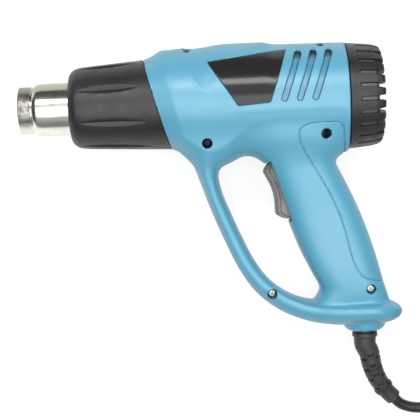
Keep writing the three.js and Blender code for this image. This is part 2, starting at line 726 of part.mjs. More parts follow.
// Rear cap: grooved cup with a castellated rim, slotted disc and a skirt inside the housing
function rearCap() {
  const radius = BARREL_RADIUS - 0.2;
  const skirt = flats(INNER_RADIUS, HOLLOW_SIDES) - GAP;
  const disc = REAR_END - CAP_NOTCH_DEPTH;
  const rim = radius - 2.4 - CAP_RIM_WALL;
  let body = turned([
    [CAP_SEAM - 5.5, skirt - 2.3],
    [CAP_SEAM - 5.5, skirt],
    [CAP_SEAM + GAP, skirt],
    [CAP_SEAM + GAP, radius],
    [disc, radius - 1.7],
    [REAR_END - 2, radius - 3],
    [REAR_END, radius - 5.4],
    [REAR_END, rim],
    [disc, rim],
    [disc, 0],
    [disc - CAP_DISC_THICKNESS, 0],
    [disc - CAP_DISC_THICKNESS, radius - CAP_WALL - 1.6],
    [CAP_SEAM + 3, radius - CAP_WALL - 0.8],
    [CAP_SEAM + 1, skirt - 2.3],
  ], CAP_GROOVES);
  const facet = 360 / CAP_GROOVES;
  const groove = block(
    CAP_SEAM + CAP_GROOVE_START, disc + 0.5, radius - 1 - CAP_GROOVE_DEPTH, radius + 5,
    -CAP_GROOVE_WIDTH / 2, CAP_GROOVE_WIDTH / 2,
  );
  const notch = block(
    disc, REAR_END + 5, rim - 5, radius + 5, -CAP_NOTCH_WIDTH / 2, CAP_NOTCH_WIDTH / 2,
  );
  for (let i = 0; i < CAP_GROOVES; i++) {
    const angle = (i + 0.5) * facet;
    body = cut(body, groove.rotate([angle, 0, 0]), notch.rotate([angle, 0, 0]));
  }
  const slot = block(disc - CAP_DISC_THICKNESS - 1, disc + 1, 11, rim - 3, -1.5, 1.5);
  for (let i = 0; i < CAP_SLOTS; i++) {
    body = cut(body, slot.rotate([(360 * i) / CAP_SLOTS, 0, 0]));
  }
  return body.rotate([90 + CAP_PHASE - facet / 2, 0, 0]);
}

// Label plates in the two recesses
function labelPlate(sign) {
  const wide = 2 * BARREL_RADIUS;
  const sheet = sign > 0 ? [0, wide] : [-wide, 0];
  const skin = cut(barrelCore(0.15), barrelCore(LABEL_DEPTH - GAP, 6));
  return plate(inward(LABEL, GAP + 0.2), ...sheet).intersect(skin);
}

// Screw with a recessed pan head, its head seated towards +z
function screw(x, y, seat, length) {
  const head = pin(x, y, seat + GAP, seat + GAP + SCREW_HEAD_HEIGHT, SCREW_HEAD_RADIUS, 12);
  const shank = pin(x, y, seat - length, seat + GAP + 0.5, SCREW_SHANK_RADIUS, 6);
  const top = seat + GAP + SCREW_HEAD_HEIGHT;
  const drive = block(x - 1.9, x + 1.9, y - 0.45, y + 0.45, top - 1.1, top + 1);
  const across = block(x - 0.45, x + 0.45, y - 1.9, y + 1.9, top - 1.1, top + 1);
  return cut(join(head, shank), join(drive, across));
}

// Rocker: two noses and a waist, crowned across, drawn with +x down the grip and +y out
function rockerOutline(grow) {
  const long = ROCKER_HALF_LENGTH;
  const side = [
    [0, ROCKER_WAIST + grow],
    [6, ROCKER_WAIST + 0.5 + grow],
    [long - 6.2, ROCKER_NOSE + grow],
    [long - 1.6, 7.4 + 0.6 * grow],
    [long, 0.5],
    [14, -1.5],
    [5, -3.2],
  ];
  const back = [[0, -4.4]];
  const mirrored = side.slice(1).reverse().map(([u, v]) => [-u, v]);
  return [...side, ...back, ...mirrored].reverse();
}

function rocker() {
  const steps = [-1, -0.86, -0.5, 0, 0.5, 0.86, 1];
  const rings = steps.map((step) => {
    const grow = ROCKER_CROWN * (1 - step * step) - ROCKER_CROWN;
    return rockerOutline(grow).map(([u, v]) => new THREE.Vector3(u, v, step * ROCKER_HALF_WIDTH));
  });
  const bore = pin(0, 0, -20, 20, PIVOT_RADIUS + GAP, 12);
  return atPivot(cut(loftOutline(rings), bore), ROCKER_TILT);
}

// A loft between outlines that aren't round: its two ends are triangulated as shapes.
function loftOutline(rings) {
  const position = rings.flat().flatMap((p) => [p.x, p.y, p.z]);
  const index = strips(rings, inOrder(rings));
  const faces = THREE.ShapeUtils.triangulateShape(rings[0].map((p) => new THREE.Vector2(p.x, p.y)), []);
  const end = (rings.length - 1) * rings[0].length;
  for (const [a, b, c] of faces) index.push(a, c, b, end + a, end + b, end + c);
  return meshOf(position, index);
}

// Switch body: a box behind the rocker with two ears that hold the pin
function switchBody() {
  const half = SWITCH.halfWidth;
  const box = block(-SWITCH_HALF_LENGTH, SWITCH_HALF_LENGTH, -SWITCH_DEPTH - 5, -8.4, -half, half);
  const ears = [-1, 1].map((side) => {
    const inner = side * (ROCKER_HALF_WIDTH + GAP);
    const outer = side * (ROCKER_HALF_WIDTH + GAP + EAR);
    return block(-4, 4, -12, EAR_TOP, Math.min(inner, outer), Math.max(inner, outer));
  });
  const bore = pin(0, 0, -30, 30, PIVOT_RADIUS + GAP, 12);
  return atPivot(cut(join(box, ...ears), bore));
}

function rockerPin() {
  const half = ROCKER_HALF_WIDTH + GAP + EAR;
  return atPivot(pin(0, 0, -half, half, PIVOT_RADIUS, 12));
}

const switchTerminal = (u) =>
  atPivot(block(u - 2.4, u + 2.4, -SWITCH_DEPTH - 12, -SWITCH_DEPTH - 5 - GAP, -0.4, 0.4));

// Where a wire meets a terminal, in the tool frame
function terminalEnd(u) {
  const across = gripLean * RADIANS;
  const back = SWITCH_DEPTH + 12 + GAP;
  return new THREE.Vector3(
    PIVOT_X + u * Math.sin(across) + back * Math.cos(across),
    PIVOT_Y - u * Math.cos(across) + back * Math.sin(across),
    0,
  );
}

// Motor, turned about the barrel's axis
const MOTOR_REAR = CAP_SEAM - MOTOR_SETBACK;
const MOTOR_FRONT = MOTOR_REAR - MOTOR_LENGTH;
const BUSH_RADIUS = 3.2;

const motorCan = () => turned([
  [MOTOR_FRONT, MOTOR_RADIUS - 1],
  [MOTOR_FRONT, MOTOR_RADIUS],
  [MOTOR_REAR - 1.5, MOTOR_RADIUS],
  [MOTOR_REAR, MOTOR_RADIUS - 1.5],
  [MOTOR_REAR, BUSH_RADIUS + 1.2],
  [MOTOR_REAR + 2, BUSH_RADIUS + 1.2],
  [MOTOR_REAR + 2, BUSH_RADIUS + GAP],
  [MOTOR_REAR - 1, BUSH_RADIUS + GAP],
  [MOTOR_REAR - 1, MOTOR_RADIUS - 1],
], 18);
const motorEndCap = () => turned([
  [MOTOR_FRONT - 3, BUSH_RADIUS + GAP],
  [MOTOR_FRONT - 3, MOTOR_RADIUS - 0.6],
  [MOTOR_FRONT - GAP, MOTOR_RADIUS - 0.6],
  [MOTOR_FRONT - GAP, BUSH_RADIUS + GAP],
], 20);
const bush = (from, to) => turned([
  [from, SHAFT_RADIUS + GAP],
  [from, BUSH_RADIUS],
  [to, BUSH_RADIUS],
  [to, SHAFT_RADIUS + GAP],
], 10);
const SHAFT_FRONT = MOTOR_FRONT - 2.6;
const FAN_START = CAP_SEAM - 7;
const motorShaft = () => rod(SHAFT_FRONT, FAN_START + FAN_LENGTH + 1, SHAFT_RADIUS, 10);

function armature() {
  const front = MOTOR_FRONT + 8;
  const back = MOTOR_REAR - 5;
  let body = turned([
    [front, SHAFT_RADIUS + GAP],
    [front, ARMATURE_RADIUS],
    [back, ARMATURE_RADIUS],
    [back, SHAFT_RADIUS + GAP],
  ], 15);
  for (let i = 0; i < 5; i++) {
    body = cut(body, block(front - 1, back + 1, 4.6, 12, -0.8, 0.8).rotate([72 * i, 0, 0]));
  }
  return body;
}

const commutator = () => turned([
  [MOTOR_FRONT + 2, SHAFT_RADIUS + GAP],
  [MOTOR_FRONT + 2, 3.4],
  [MOTOR_FRONT + 7.4, 3.4],
  [MOTOR_FRONT + 7.4, SHAFT_RADIUS + GAP],
], 12);

function magnet(sign) {
  const outside = MOTOR_RADIUS - 1 - GAP;
  const ring = turned([
    [MOTOR_FRONT + 7, ARMATURE_RADIUS + 0.6],
    [MOTOR_FRONT + 7, outside],
    [MOTOR_REAR - 4, outside],
    [MOTOR_REAR - 4, ARMATURE_RADIUS + 0.6],
  ], 24);
  const window = sign > 0 ? [MAGNET_HALF_GAP, MOTOR_RADIUS] : [-MOTOR_RADIUS, -MAGNET_HALF_GAP];
  return ring.intersect(block(MOTOR_FRONT, MOTOR_REAR, ...window, -MOTOR_RADIUS, MOTOR_RADIUS));
}

// Fan: a hub with twisted blades
function fan() {
  const end = FAN_START + FAN_LENGTH;
  let body = turned([
    [FAN_START, SHAFT_RADIUS + GAP],
    [FAN_START, FAN_HUB_RADIUS],
    [end - 1.5, FAN_HUB_RADIUS],
    [end, FAN_HUB_RADIUS - 2],
    [end, SHAFT_RADIUS + GAP],
  ], 14);
  for (let i = 0; i < FAN_BLADES; i++) {
    const rings = [FAN_HUB_RADIUS - 1, FAN_HUB_RADIUS + 7, FAN_RADIUS - 6, FAN_RADIUS].map((radius) => {
      const pitch = (62 - 1.1 * radius) * RADIANS;
      const corners = [[-0.5, -0.55], [0.5, -0.55], [0.5, 0.55], [-0.5, 0.55]];
      return corners.map(([along, thick]) => {
        const c = along * Math.min(FAN_CHORD, (FAN_LENGTH - 1.6) / Math.max(Math.cos(pitch), 0.6));
        const x = c * Math.cos(pitch) - thick * Math.sin(pitch);
        const z = c * Math.sin(pitch) + thick * Math.cos(pitch);
        const level = Math.sqrt(radius * radius - z * z);
        return new THREE.Vector3((FAN_START + end) / 2 + x, level, z);
      });
    });
    body = body.add(loft(rings).rotate([(360 * i) / FAN_BLADES, 0, 0]));
  }
  return body;
}

// Fan shroud: ring round the fan, four arms and a cup that holds the motor
const SHROUD_START = CAP_SEAM - 10.4;
const CUP_RADIUS = MOTOR_RADIUS + GAP;

function fanShroud() {
  const bore = FAN_RADIUS + RUNNING_GAP;
  const ring = turned([
    [SHROUD_START, bore],
    [SHROUD_START, bore + SHROUD_WALL],
    [CAP_SEAM + 5, bore + SHROUD_WALL],
    [CAP_SEAM + 5, bore],
  ], SHROUD_SIDES);
  const cup = turned([
    [MOTOR_FRONT + 12, CUP_RADIUS],
    [MOTOR_FRONT + 12, CUP_RADIUS + 1.6],
    [MOTOR_REAR + 2, CUP_RADIUS + 1.6],
    [MOTOR_REAR + 2, BUSH_RADIUS + 1.5],
    [MOTOR_REAR + GAP, BUSH_RADIUS + 1.5],
    [MOTOR_REAR + GAP, CUP_RADIUS],
  ], 18);
  let body = join(ring, cup);
  for (let i = 0; i < 4; i++) {
    const arm = block(SHROUD_START, SHROUD_START + 2.4, CUP_RADIUS + 0.8, bore + 0.9, -2, 2);
    body = body.add(arm.rotate([45 + 90 * i, 0, 0]));
  }
  return body;
}

// Air guide: the duct from the fan to the outlet tube
const GUIDE_END = CAP_SEAM - 32;

const airGuide = () => turned([
  [TUBE_SEAT + 1.5 + GAP, TUBE_RADIUS + TUBE_FLANGE - 2],
  [TUBE_SEAT + 1.5 + GAP, TUBE_RADIUS + TUBE_FLANGE],
  [TUBE_SEAT + 18, TUBE_RADIUS + TUBE_FLANGE],
  [TUBE_SEAT + 32, GUIDE_RADIUS],
  [GUIDE_END, GUIDE_RADIUS],
  [GUIDE_END, GUIDE_RADIUS - 1.6],
  [TUBE_SEAT + 32, GUIDE_RADIUS - 1.6],
  [TUBE_SEAT + 18, TUBE_RADIUS + TUBE_FLANGE - 1.6],
], GUIDE_SIDES);

// Rectifier board on the motor's terminals, with four diodes
const BOARD_FRONT = MOTOR_FRONT - 3 - GAP - 1.6;
const rectifierBoard = () => turned([
  [BOARD_FRONT, 4],
  [BOARD_FRONT, MOTOR_RADIUS - 0.4],
  [BOARD_FRONT + 1.6, MOTOR_RADIUS - 0.4],
  [BOARD_FRONT + 1.6, 4],
], 16);
const diode = (i) => rod(BOARD_FRONT - 5.5, BOARD_FRONT - GAP, 1.4, 8, 9, 0).rotate([45 + 90 * i, 0, 0]);

// Heater: crossed plates, the winding round them, two end plates and an insulating sleeve
const FORMER_END = FORMER_START + FORMER_LENGTH;
const SLEEVE_RADIUS = TUBE_RADIUS - TUBE_WALL - GAP;

function heaterFormer() {
  const arm = block(FORMER_START, FORMER_END, -FORMER_RADIUS, FORMER_RADIUS, -0.5, 0.5);
  return join(arm, arm.rotate([90, 0, 0]));
}

function heaterCoil() {
  const points = [];
  const steps = COIL_TURNS * 8;
  const radius = FORMER_RADIUS + COIL_WIRE_RADIUS + GAP + 0.05;
  const run = FORMER_LENGTH - 12;
  for (let i = 0; i <= steps; i++) {
    const turn = (Math.PI * i) / 4;
    const x = FORMER_START + 6 + (run * i) / steps;
    points.push(new THREE.Vector3(x, radius * Math.cos(turn), radius * Math.sin(turn)));
  }
  const radii = points.map(() => COIL_WIRE_RADIUS);
  return loft(ringsAlong(points, radii, 5));
}

function heaterPlate(x) {
  let body = rod(x, x + 1.2, SLEEVE_RADIUS - SLEEVE_WALL - GAP, 16);
  for (let i = 0; i < 4; i++) {
    const hole = rod(x - 1, x + 2.2, 4.4, 8, 9.6, 0);
    body = cut(body, hole.rotate([45 + 90 * i, 0, 0]));
  }
  return body;
}

const micaSleeve = () => turned([
  [TIP_LENGTH + 9, SLEEVE_RADIUS - SLEEVE_WALL],
  [TIP_LENGTH + 9, SLEEVE_RADIUS],
  [TUBE_SEAT + 1, SLEEVE_RADIUS],
  [TUBE_SEAT + 1, SLEEVE_RADIUS - SLEEVE_WALL],
], 20);
const thermalCutout = () => rod(FORMER_END + GAP + 1.2 + GAP, FORMER_END + 8, 3.8, 16);

// Cord entry inside the base
const INNER_FLANGE = BOSS_END + BOSS_FLOOR + GAP;
const RELIEF_TOP = INNER_FLANGE + RELIEF_FLANGE_THICKNESS;
const INNER_CORD_TOP = -BASE_DROP + 12;
const innerCord = () => post(CORD_X, 0, RELIEF_TOP + GAP, INNER_CORD_TOP, CORD_RADIUS - 0.1, 12);

function cordClamp() {
  const reach = CLAMP_SPAN + 3.4;
  const bar = block(CORD_X - reach, CORD_X + reach, CLAMP_Y - 3.5, CLAMP_Y + 3.5,
    CLAMP_SEAT + GAP, CLAMP_SEAT + GAP + 2.4);
  const holes = [-1, 1].map((side) =>
    pin(CORD_X + side * CLAMP_SPAN, CLAMP_Y, CLAMP_SEAT - 2, CLAMP_SEAT + 6, SCREW_SHANK_RADIUS + GAP, 8));
  return cut(bar, ...holes);
}

const capacitor = () => block(
  CAPACITOR.x - CAPACITOR.width / 2, CAPACITOR.x + CAPACITOR.width / 2,
  CAPACITOR.y - CAPACITOR.height / 2, CAPACITOR.y + CAPACITOR.height / 2,
  -CAPACITOR.depth / 2, CAPACITOR.depth / 2,
);

// A wire through points in the tool frame.
function wire(points) {
  const curve = new THREE.CatmullRomCurve3(points.map((p) => new THREE.Vector3(...p)));
  return solid(tubeOn(curve, 1.1, 5, 11));
}

const cordTop = INNER_CORD_TOP + 2 * GAP;
const switchLow = terminalEnd(TERMINAL_SPACING);
const switchHigh = terminalEnd(-TERMINAL_SPACING);
const wires = {
  wire_live: [
    [CORD_X - 1, cordTop, 1.9],
    [CORD_X - 1.8, cordTop + 2, 2.2],
    [CORD_X - 5.5, cordTop + 9, 7],
    [CORD_X - 4, cordTop + 18, 9.5],
    [CAP_SEAM + 2, CAPACITOR.y + 8, 10],
    [CAP_SEAM - 6, CAPACITOR.y + 20, 6],
    [switchLow.x + 3, switchLow.y - 6, 1.5],
    [switchLow.x + 1.4, switchLow.y, 0],
  ],
  wire_neutral: [
    [CORD_X - 1, cordTop, -1.9],
    [CORD_X - 1.8, cordTop + 2, -2.2],
    [CORD_X - 5.5, cordTop + 9, -7],
    [CORD_X - 4.5, cordTop + 16, -9],
    [CAP_SEAM + 2.5, CAPACITOR.y + 12, -9.8],
    [CAP_SEAM - 8, CAPACITOR.y + 45, -9],
    [CAP_SEAM - 18, -44, -9],
    [CAP_SEAM - 24, -30, -8],
    [CAP_SEAM - 29, -21, -5],
    [BOARD_FRONT - 6, -20, -4],
    [BOARD_FRONT - 6.5, -13.5, -1.5],
    [BOARD_FRONT - 1.6, -11.5, 0],
  ],
  wire_motor: [
    [switchHigh.x + 1.4, switchHigh.y, 0],
    [switchHigh.x + 3.5, switchHigh.y + 6, 2],
    [CAP_SEAM - 21, -40, 6],
    [CAP_SEAM - 26, -27, 7],
    [CAP_SEAM - 30, -20.5, 7],
    [BOARD_FRONT - 7, -18, 9],
    [BOARD_FRONT - 6, -9.5, 9.5],
    [BOARD_FRONT - 1.6, -6.5, 9],
  ],
  wire_heater: [
    [FORMER_END + 3, SLEEVE_WALL - SLEEVE_RADIUS + 4.1, 0],
    [FORMER_END + 14, SLEEVE_WALL - SLEEVE_RADIUS + 2.1, 0],
    [BOARD_FRONT - 26, -19, 0],
    [BOARD_FRONT - 12, -16, 0],
    [BOARD_FRONT - 1.6, -7.5, 0],
  ],
};

// Assembly

const finishes = {
  housing: { color: 0x6fb7d3, roughness: 0.42 },
  dark: { color: 0x36383a, roughness: 0.5 },
  gloss: { color: 0x121314, roughness: 0.12 },
  steel: { color: 0xb9b8ae, roughness: 0.25, metalness: 1 },
  grey: { color: 0x6b6a69, roughness: 0.55 },
  rubber: { color: 0x18191a, roughness: 0.6 },
  mica: { color: 0xb7a98c, roughness: 0.5 },
  copper: { color: 0xa9663a, roughness: 0.35, metalness: 1 },
  cream: { color: 0xd9d4c4, roughness: 0.6 },
  board: { color: 0x2e5d3c, roughness: 0.5 },
  white: { color: 0xd8dcdc, roughness: 0.5 },
};

const materials = Object.fromEntries(
  Object.entries(finishes).map(([name, look]) => [name, new THREE.MeshStandardMaterial(look)]),
);

const root = new THREE.Group();
const tool = new THREE.Group();
root.add(tool);

function place(group, name, body, finish) {
  const geometry = body.isBufferGeometry ? body : geometryOf(body);
  const mesh = new THREE.Mesh(geometry, materials[finish]);
  mesh.name = name;
  group.add(mesh);
  return mesh;
}

const shells = housingShells();
place(tool, "housing_left", shells.left, "housing");
place(tool, "housing_right", shells.right, "housing");
place(tool, "front_collar", frontCollar(), "dark");
place(tool, "outlet_tube", outletTube(), "steel");
place(tool, "rear_cap", rearCap(), "dark");
place(tool, "label_left", labelPlate(1), "gloss");
place(tool, "label_right", labelPlate(-1), "gloss");
SCREWS.forEach(([x, y, seat], i) => {
  place(tool, "housing_screw_" + (i + 1), screw(x, y, seat, SCREW_LENGTH - 1), "steel");
});
place(tool, "switch_rocker", rocker(), "grey");
place(tool, "rocker_pin", rockerPin(), "steel");
place(tool, "switch_body", switchBody(), "dark");
place(tool, "switch_terminal_1", switchTerminal(-TERMINAL_SPACING), "copper");
place(tool, "switch_terminal_2", switchTerminal(0), "copper");
place(tool, "switch_terminal_3", switchTerminal(TERMINAL_SPACING), "copper");
place(tool, "inner_cord", innerCord(), "rubber");
place(tool, "cord_clamp", cordClamp(), "white");
[-1, 1].forEach((side, i) => {
  const body = screw(CORD_X + side * CLAMP_SPAN, CLAMP_Y, CLAMP_SEAT + GAP + 2.4, 9);
  place(tool, "clamp_screw_" + (i + 1), body, "steel");
});
place(tool, "capacitor", capacitor(), "cream");
for (const [name, points] of Object.entries(wires)) place(tool, name, wire(points), "rubber");
place(tool, "motor_can", motorCan(), "steel");
place(tool, "motor_end_cap", motorEndCap(), "white");
place(tool, "motor_bush_front", bush(MOTOR_FRONT - 3, MOTOR_FRONT - GAP), "copper");
place(tool, "motor_bush_rear", bush(MOTOR_REAR - 1, MOTOR_REAR + 2), "copper");
place(tool, "magnet_1", magnet(1), "dark");
place(tool, "magnet_2", magnet(-1), "dark");
place(tool, "motor_shaft", motorShaft(), "steel");
place(tool, "armature", armature(), "copper");
place(tool, "commutator", commutator(), "copper");
place(tool, "fan", fan(), "dark");
place(tool, "fan_shroud", fanShroud(), "white");
place(tool, "air_guide", airGuide(), "white");
place(tool, "rectifier_board", rectifierBoard(), "board");
for (let i = 0; i < 4; i++) place(tool, "diode_" + (i + 1), diode(i), "dark");
place(tool, "heater_former", heaterFormer(), "mica");
place(tool, "heater_coil", heaterCoil(), "steel");
place(tool, "heater_plate_front", heaterPlate(FORMER_START - GAP - 1.2), "mica");
place(tool, "heater_plate_rear", heaterPlate(FORMER_END + GAP), "mica");
place(tool, "mica_sleeve", micaSleeve(), "mica");
place(tool, "thermal_cutout", thermalCutout(), "cream");

// The tool lies on the barrel's side and the base flange, so it leans by a few degrees.
const reach = Math.hypot(BASE_DROP, BASE_HALF_WIDTH);
const lie = Math.asin((BARREL_RADIUS + 0.2) / reach) - Math.atan2(BASE_HALF_WIDTH, BASE_DROP);
tool.rotation.x = lie;
tool.updateMatrixWorld(true);
tool.position.z = -new THREE.Box3().setFromObject(tool, true).min.z;
tool.updateMatrixWorld(true);

// Table frame: x from the mouth, y from the barrel's axis, z up from the table
const onTable = (x, y, z) => tool.localToWorld(new THREE.Vector3(x, y, z));

// Strain relief: flange inside the boss, neck, outer flange, sleeve and ribs, bending to the table
const RELIEF_ROUTE = [
  [248.6, -188, 20.4],
  [250.6, -197.5, 18],
  [253.6, -206, 15.2],
  [258.2, -214, 12],
  [262.4, -219.4, 9.9],
  [266.8, -224, 8.2],
].map((p) => new THREE.Vector3(...p));
const RELIEF_SIDES = 10;
const RELIEF_SLEEVE_END = 26.3;
const STEP = 0.1;
// Each rib: where it starts and ends along the relief, and its radius
const RELIEF_RIBS = [
  [28.5, 34.5, 7.4],
  [36.5, 42.5, 7],
  [44.5, 50.5, 6.7],
  [52.5, 57, 6.5],
];

function strainRelief() {
  const straight = [RELIEF_TOP, BOSS_END + 3, BOSS_END - 4, BOSS_END - 9.5].map((y) => onTable(CORD_X, y, 0));
  const curve = new THREE.CatmullRomCurve3([...straight, ...RELIEF_ROUTE]);
  const length = curve.getLength();
  const neck = CORD_HOLE_RADIUS - GAP;
  const flange = neck + RELIEF_FLANGE_WIDTH;
  const outside = RELIEF_TOP - BOSS_END + GAP;
  const stations = [
    [0, flange],
    [RELIEF_FLANGE_THICKNESS, flange],
    [RELIEF_FLANGE_THICKNESS + STEP, neck],
    [outside, neck],
    [outside + STEP, flange - 0.2],
    [outside + 3.2, flange - 0.2],
    [outside + 3.6, neck + 1.1],
    [RELIEF_SLEEVE_END, neck + 0.5],
    [RELIEF_SLEEVE_END + STEP, neck - 1.6],
  ];
  for (const [from, to, radius] of RELIEF_RIBS) {
    stations.push([from - STEP, neck - 1.8], [from, radius], [to, radius], [to + STEP, neck - 2]);
  }
  stations.push([length, neck - 2]);
  const points = stations.map(([at]) => curve.getPointAt(Math.min(at / length, 1)));
  return loft(ringsAlong(points, stations.map((s) => s[1]), RELIEF_SIDES));
}

// Cord lead: from the relief along the table to the coil
const LEAD_ROUTE = [
  [267, -224.2, 8.1],
  [272.2, -229.4, 6.4],
  [279.9, -232.7, 5],
  [287.5, -233.8, 4.3],
  [298, -234, 4.1],
  [320, -234, 4.1],
  [340, -234, 4.7],
  [349, -234, 5.4],
  [357.7, -234, 5.4],
].map((p) => new THREE.Vector3(...p));

// Cord tail: from the coil down to the table and to the plug
const TAIL_ROUTE = [
  [426, -165.7, 14.1],
  [426, -158, 13.6],
  [426.3, -145, 9.6],
  [426.6, -130, 5.2],
  [426.6, -116, 4.2],
  [426.2, -104, 5],
  [426, -96, 6.4],
  [426, -88, 6.5],
].map((p) => new THREE.Vector3(...p));
const COIL_CENTRE = [366, -174];
const COIL_STEPS = 24;

// The coil's middle line: in on the lower layer, up in half a turn, and out on the upper one.
function coilLine() {
  const low = COIL_LIFT + CORD_RADIUS;
  const turns = 2 * COIL_LAYER_TURNS + 0.5;
  const steps = Math.round(turns * COIL_STEPS);
  const points = [new THREE.Vector3(COIL_CENTRE[0] - 2 * CORD_RADIUS, COIL_CENTRE[1] - COIL_RADIUS, low)];
  for (let i = 0; i <= steps; i++) {
    const turn = (turns * i) / steps;
    const climb = Math.min(1, Math.max(0, (turn - COIL_LAYER_TURNS) / 0.5));
    const inward = Math.min(turn, COIL_LAYER_TURNS);
    const outward = Math.max(0, turn - COIL_LAYER_TURNS - 0.5);
    const dip = 0.5 * COIL_PITCH * climb * (1 - climb);
    const radius = COIL_RADIUS - COIL_PITCH * (inward - outward) - dip;
    const angle = 2 * Math.PI * (turn - 0.25);
    points.push(new THREE.Vector3(
      COIL_CENTRE[0] + radius * Math.cos(angle),
      COIL_CENTRE[1] + radius * Math.sin(angle),
      low + COIL_PITCH * climb * climb * (3 - 2 * climb),
    ));
  }
  const end = points[points.length - 1].clone();
  points.push(end.add(new THREE.Vector3(0, 2 * CORD_RADIUS, 0)));
  return points;
}

// Least gap between stretches of the coil that are more than a third of a turn apart.
function leastGap(points) {
  let least = Infinity;
  for (let i = 0; i < points.length; i++) {
    for (let k = i + COIL_STEPS / 3; k < points.length; k++) {
      least = Math.min(least, points[i].distanceTo(points[k]) - 2 * CORD_RADIUS);
    }
  }
  return least;
}

const coilPoints = coilLine();
console.log("least gap in the coil", leastGap(coilPoints).toFixed(2), "mm");
const cordCoil = () => loft(ringsAlong(coilPoints, coilPoints.map(() => CORD_RADIUS), 6));

// Tie: a flat band round the bundle
const TIE_ANGLE = 100;
const TIE_WIDTH = 10;

function cordTie() {
  const angle = TIE_ANGLE * RADIANS;
  const near = [];
  let top = 0;
  for (const p of coilPoints) {
    const x = p.x - COIL_CENTRE[0];
    const y = p.y - COIL_CENTRE[1];
    const along = x * Math.cos(angle) + y * Math.sin(angle);
    const across = Math.abs(y * Math.cos(angle) - x * Math.sin(angle));
    if (along < 0 || across > TIE_WIDTH) continue;
    near.push(along);
    top = Math.max(top, p.z);
  }
  const from = Math.min(...near) - CORD_RADIUS - 2 * GAP;
  const to = Math.max(...near) + CORD_RADIUS + 2 * GAP;
  const half = TIE_WIDTH / 2;
  const outer = block(from - TIE_THICKNESS, to + TIE_THICKNESS, -half, half, 0,
    top + CORD_RADIUS + GAP + TIE_THICKNESS);
  const hole = block(from, to, -half - 1, half + 1, TIE_THICKNESS, top + CORD_RADIUS + GAP);
  return cut(outer, hole).rotate([0, 0, TIE_ANGLE]).translate([...COIL_CENTRE, 0]);
}

// Plug: tapered sleeve, flat body and two round pins, lying on the table
const PLUG_START = TAIL_ROUTE[TAIL_ROUTE.length - 1].y + GAP;
const PLUG_SLEEVE = 24;
const PLUG_LENGTH = 33;
const PLUG_HALF_HEIGHT = 6.5;
const PLUG_HALF_WIDTH = 15;
const PLUG_SHOULDER = 6;
const PLUG_TAPER = 12;
const PIN_SPACING = 19;
const PIN_RADIUS = 2;
const PIN_LENGTH = 19;
const PLUG_X = TAIL_ROUTE[TAIL_ROUTE.length - 1].x;

function plugBody() {
  const start = PLUG_START + PLUG_SLEEVE;
  const end = start + PLUG_LENGTH;
  const outline = [
    [PLUG_X - PLUG_SHOULDER, start],
    [PLUG_X + PLUG_SHOULDER, start],
    [PLUG_X + PLUG_HALF_WIDTH, start + PLUG_TAPER],
    [PLUG_X + PLUG_HALF_WIDTH, end],
    [PLUG_X - PLUG_HALF_WIDTH, end],
    [PLUG_X - PLUG_HALF_WIDTH, start + PLUG_TAPER],
  ];
  const sleeve = new THREE.CylinderGeometry(PLUG_SHOULDER, CORD_RADIUS + 1, PLUG_SLEEVE + 2, 12);
  sleeve.translate(PLUG_X, PLUG_START + PLUG_SLEEVE / 2 + 1, PLUG_HALF_HEIGHT);
  return join(plate(outline, 0, 2 * PLUG_HALF_HEIGHT), solid(sleeve));
}

function plugPin(sign) {
  const from = PLUG_START + PLUG_SLEEVE + PLUG_LENGTH + GAP;
  const geometry = new THREE.CylinderGeometry(PIN_RADIUS, PIN_RADIUS, PIN_LENGTH, 10);
  const x = PLUG_X + (sign * PIN_SPACING) / 2;
  return solid(geometry.translate(x, from + PIN_LENGTH / 2, PLUG_HALF_HEIGHT));
}

const lead = new THREE.CatmullRomCurve3(LEAD_ROUTE);
const tail = new THREE.CatmullRomCurve3(TAIL_ROUTE);
const coilLength = coilPoints.slice(1).reduce((sum, p, i) => sum + p.distanceTo(coilPoints[i]), 0);
const cordLength = lead.getLength() + tail.getLength() + coilLength;
console.log("cord length", cordLength.toFixed(0), "mm");
place(root, "strain_relief", strainRelief(), "rubber");

// The origin is under the middle of the tool itself, on the table.
const box = new THREE.Box3().setFromObject(root, true);
place(root, "cord_lead", tubeOn(lead, CORD_RADIUS, 8, 12), "rubber");
place(root, "cord_coil", cordCoil(), "rubber");
place(root, "cord_tail", tubeOn(tail, CORD_RADIUS, 8, 10), "rubber");
place(root, "cord_tie", cordTie(), "dark");
place(root, "plug_body", plugBody(), "rubber");
place(root, "plug_pin_1", plugPin(-1), "steel");
place(root, "plug_pin_2", plugPin(1), "steel");
const middle = box.getCenter(new THREE.Vector3());
for (const child of root.children) {
  child.position.x -= middle.x;
  child.position.y -= middle.y;
}

export default root;
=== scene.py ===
# Looks of the hot air tool: finished surfaces, cord, finishes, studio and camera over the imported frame.
# Shapes are worked out in the tool frame, in millimetres: x runs back along the barrel from the mouth
# of the outlet, y is up and z is to the tool's left. The table frame has the same x and y, and z is up
# from the table. Both are turned into the frame's metres when a mesh is made.
import math

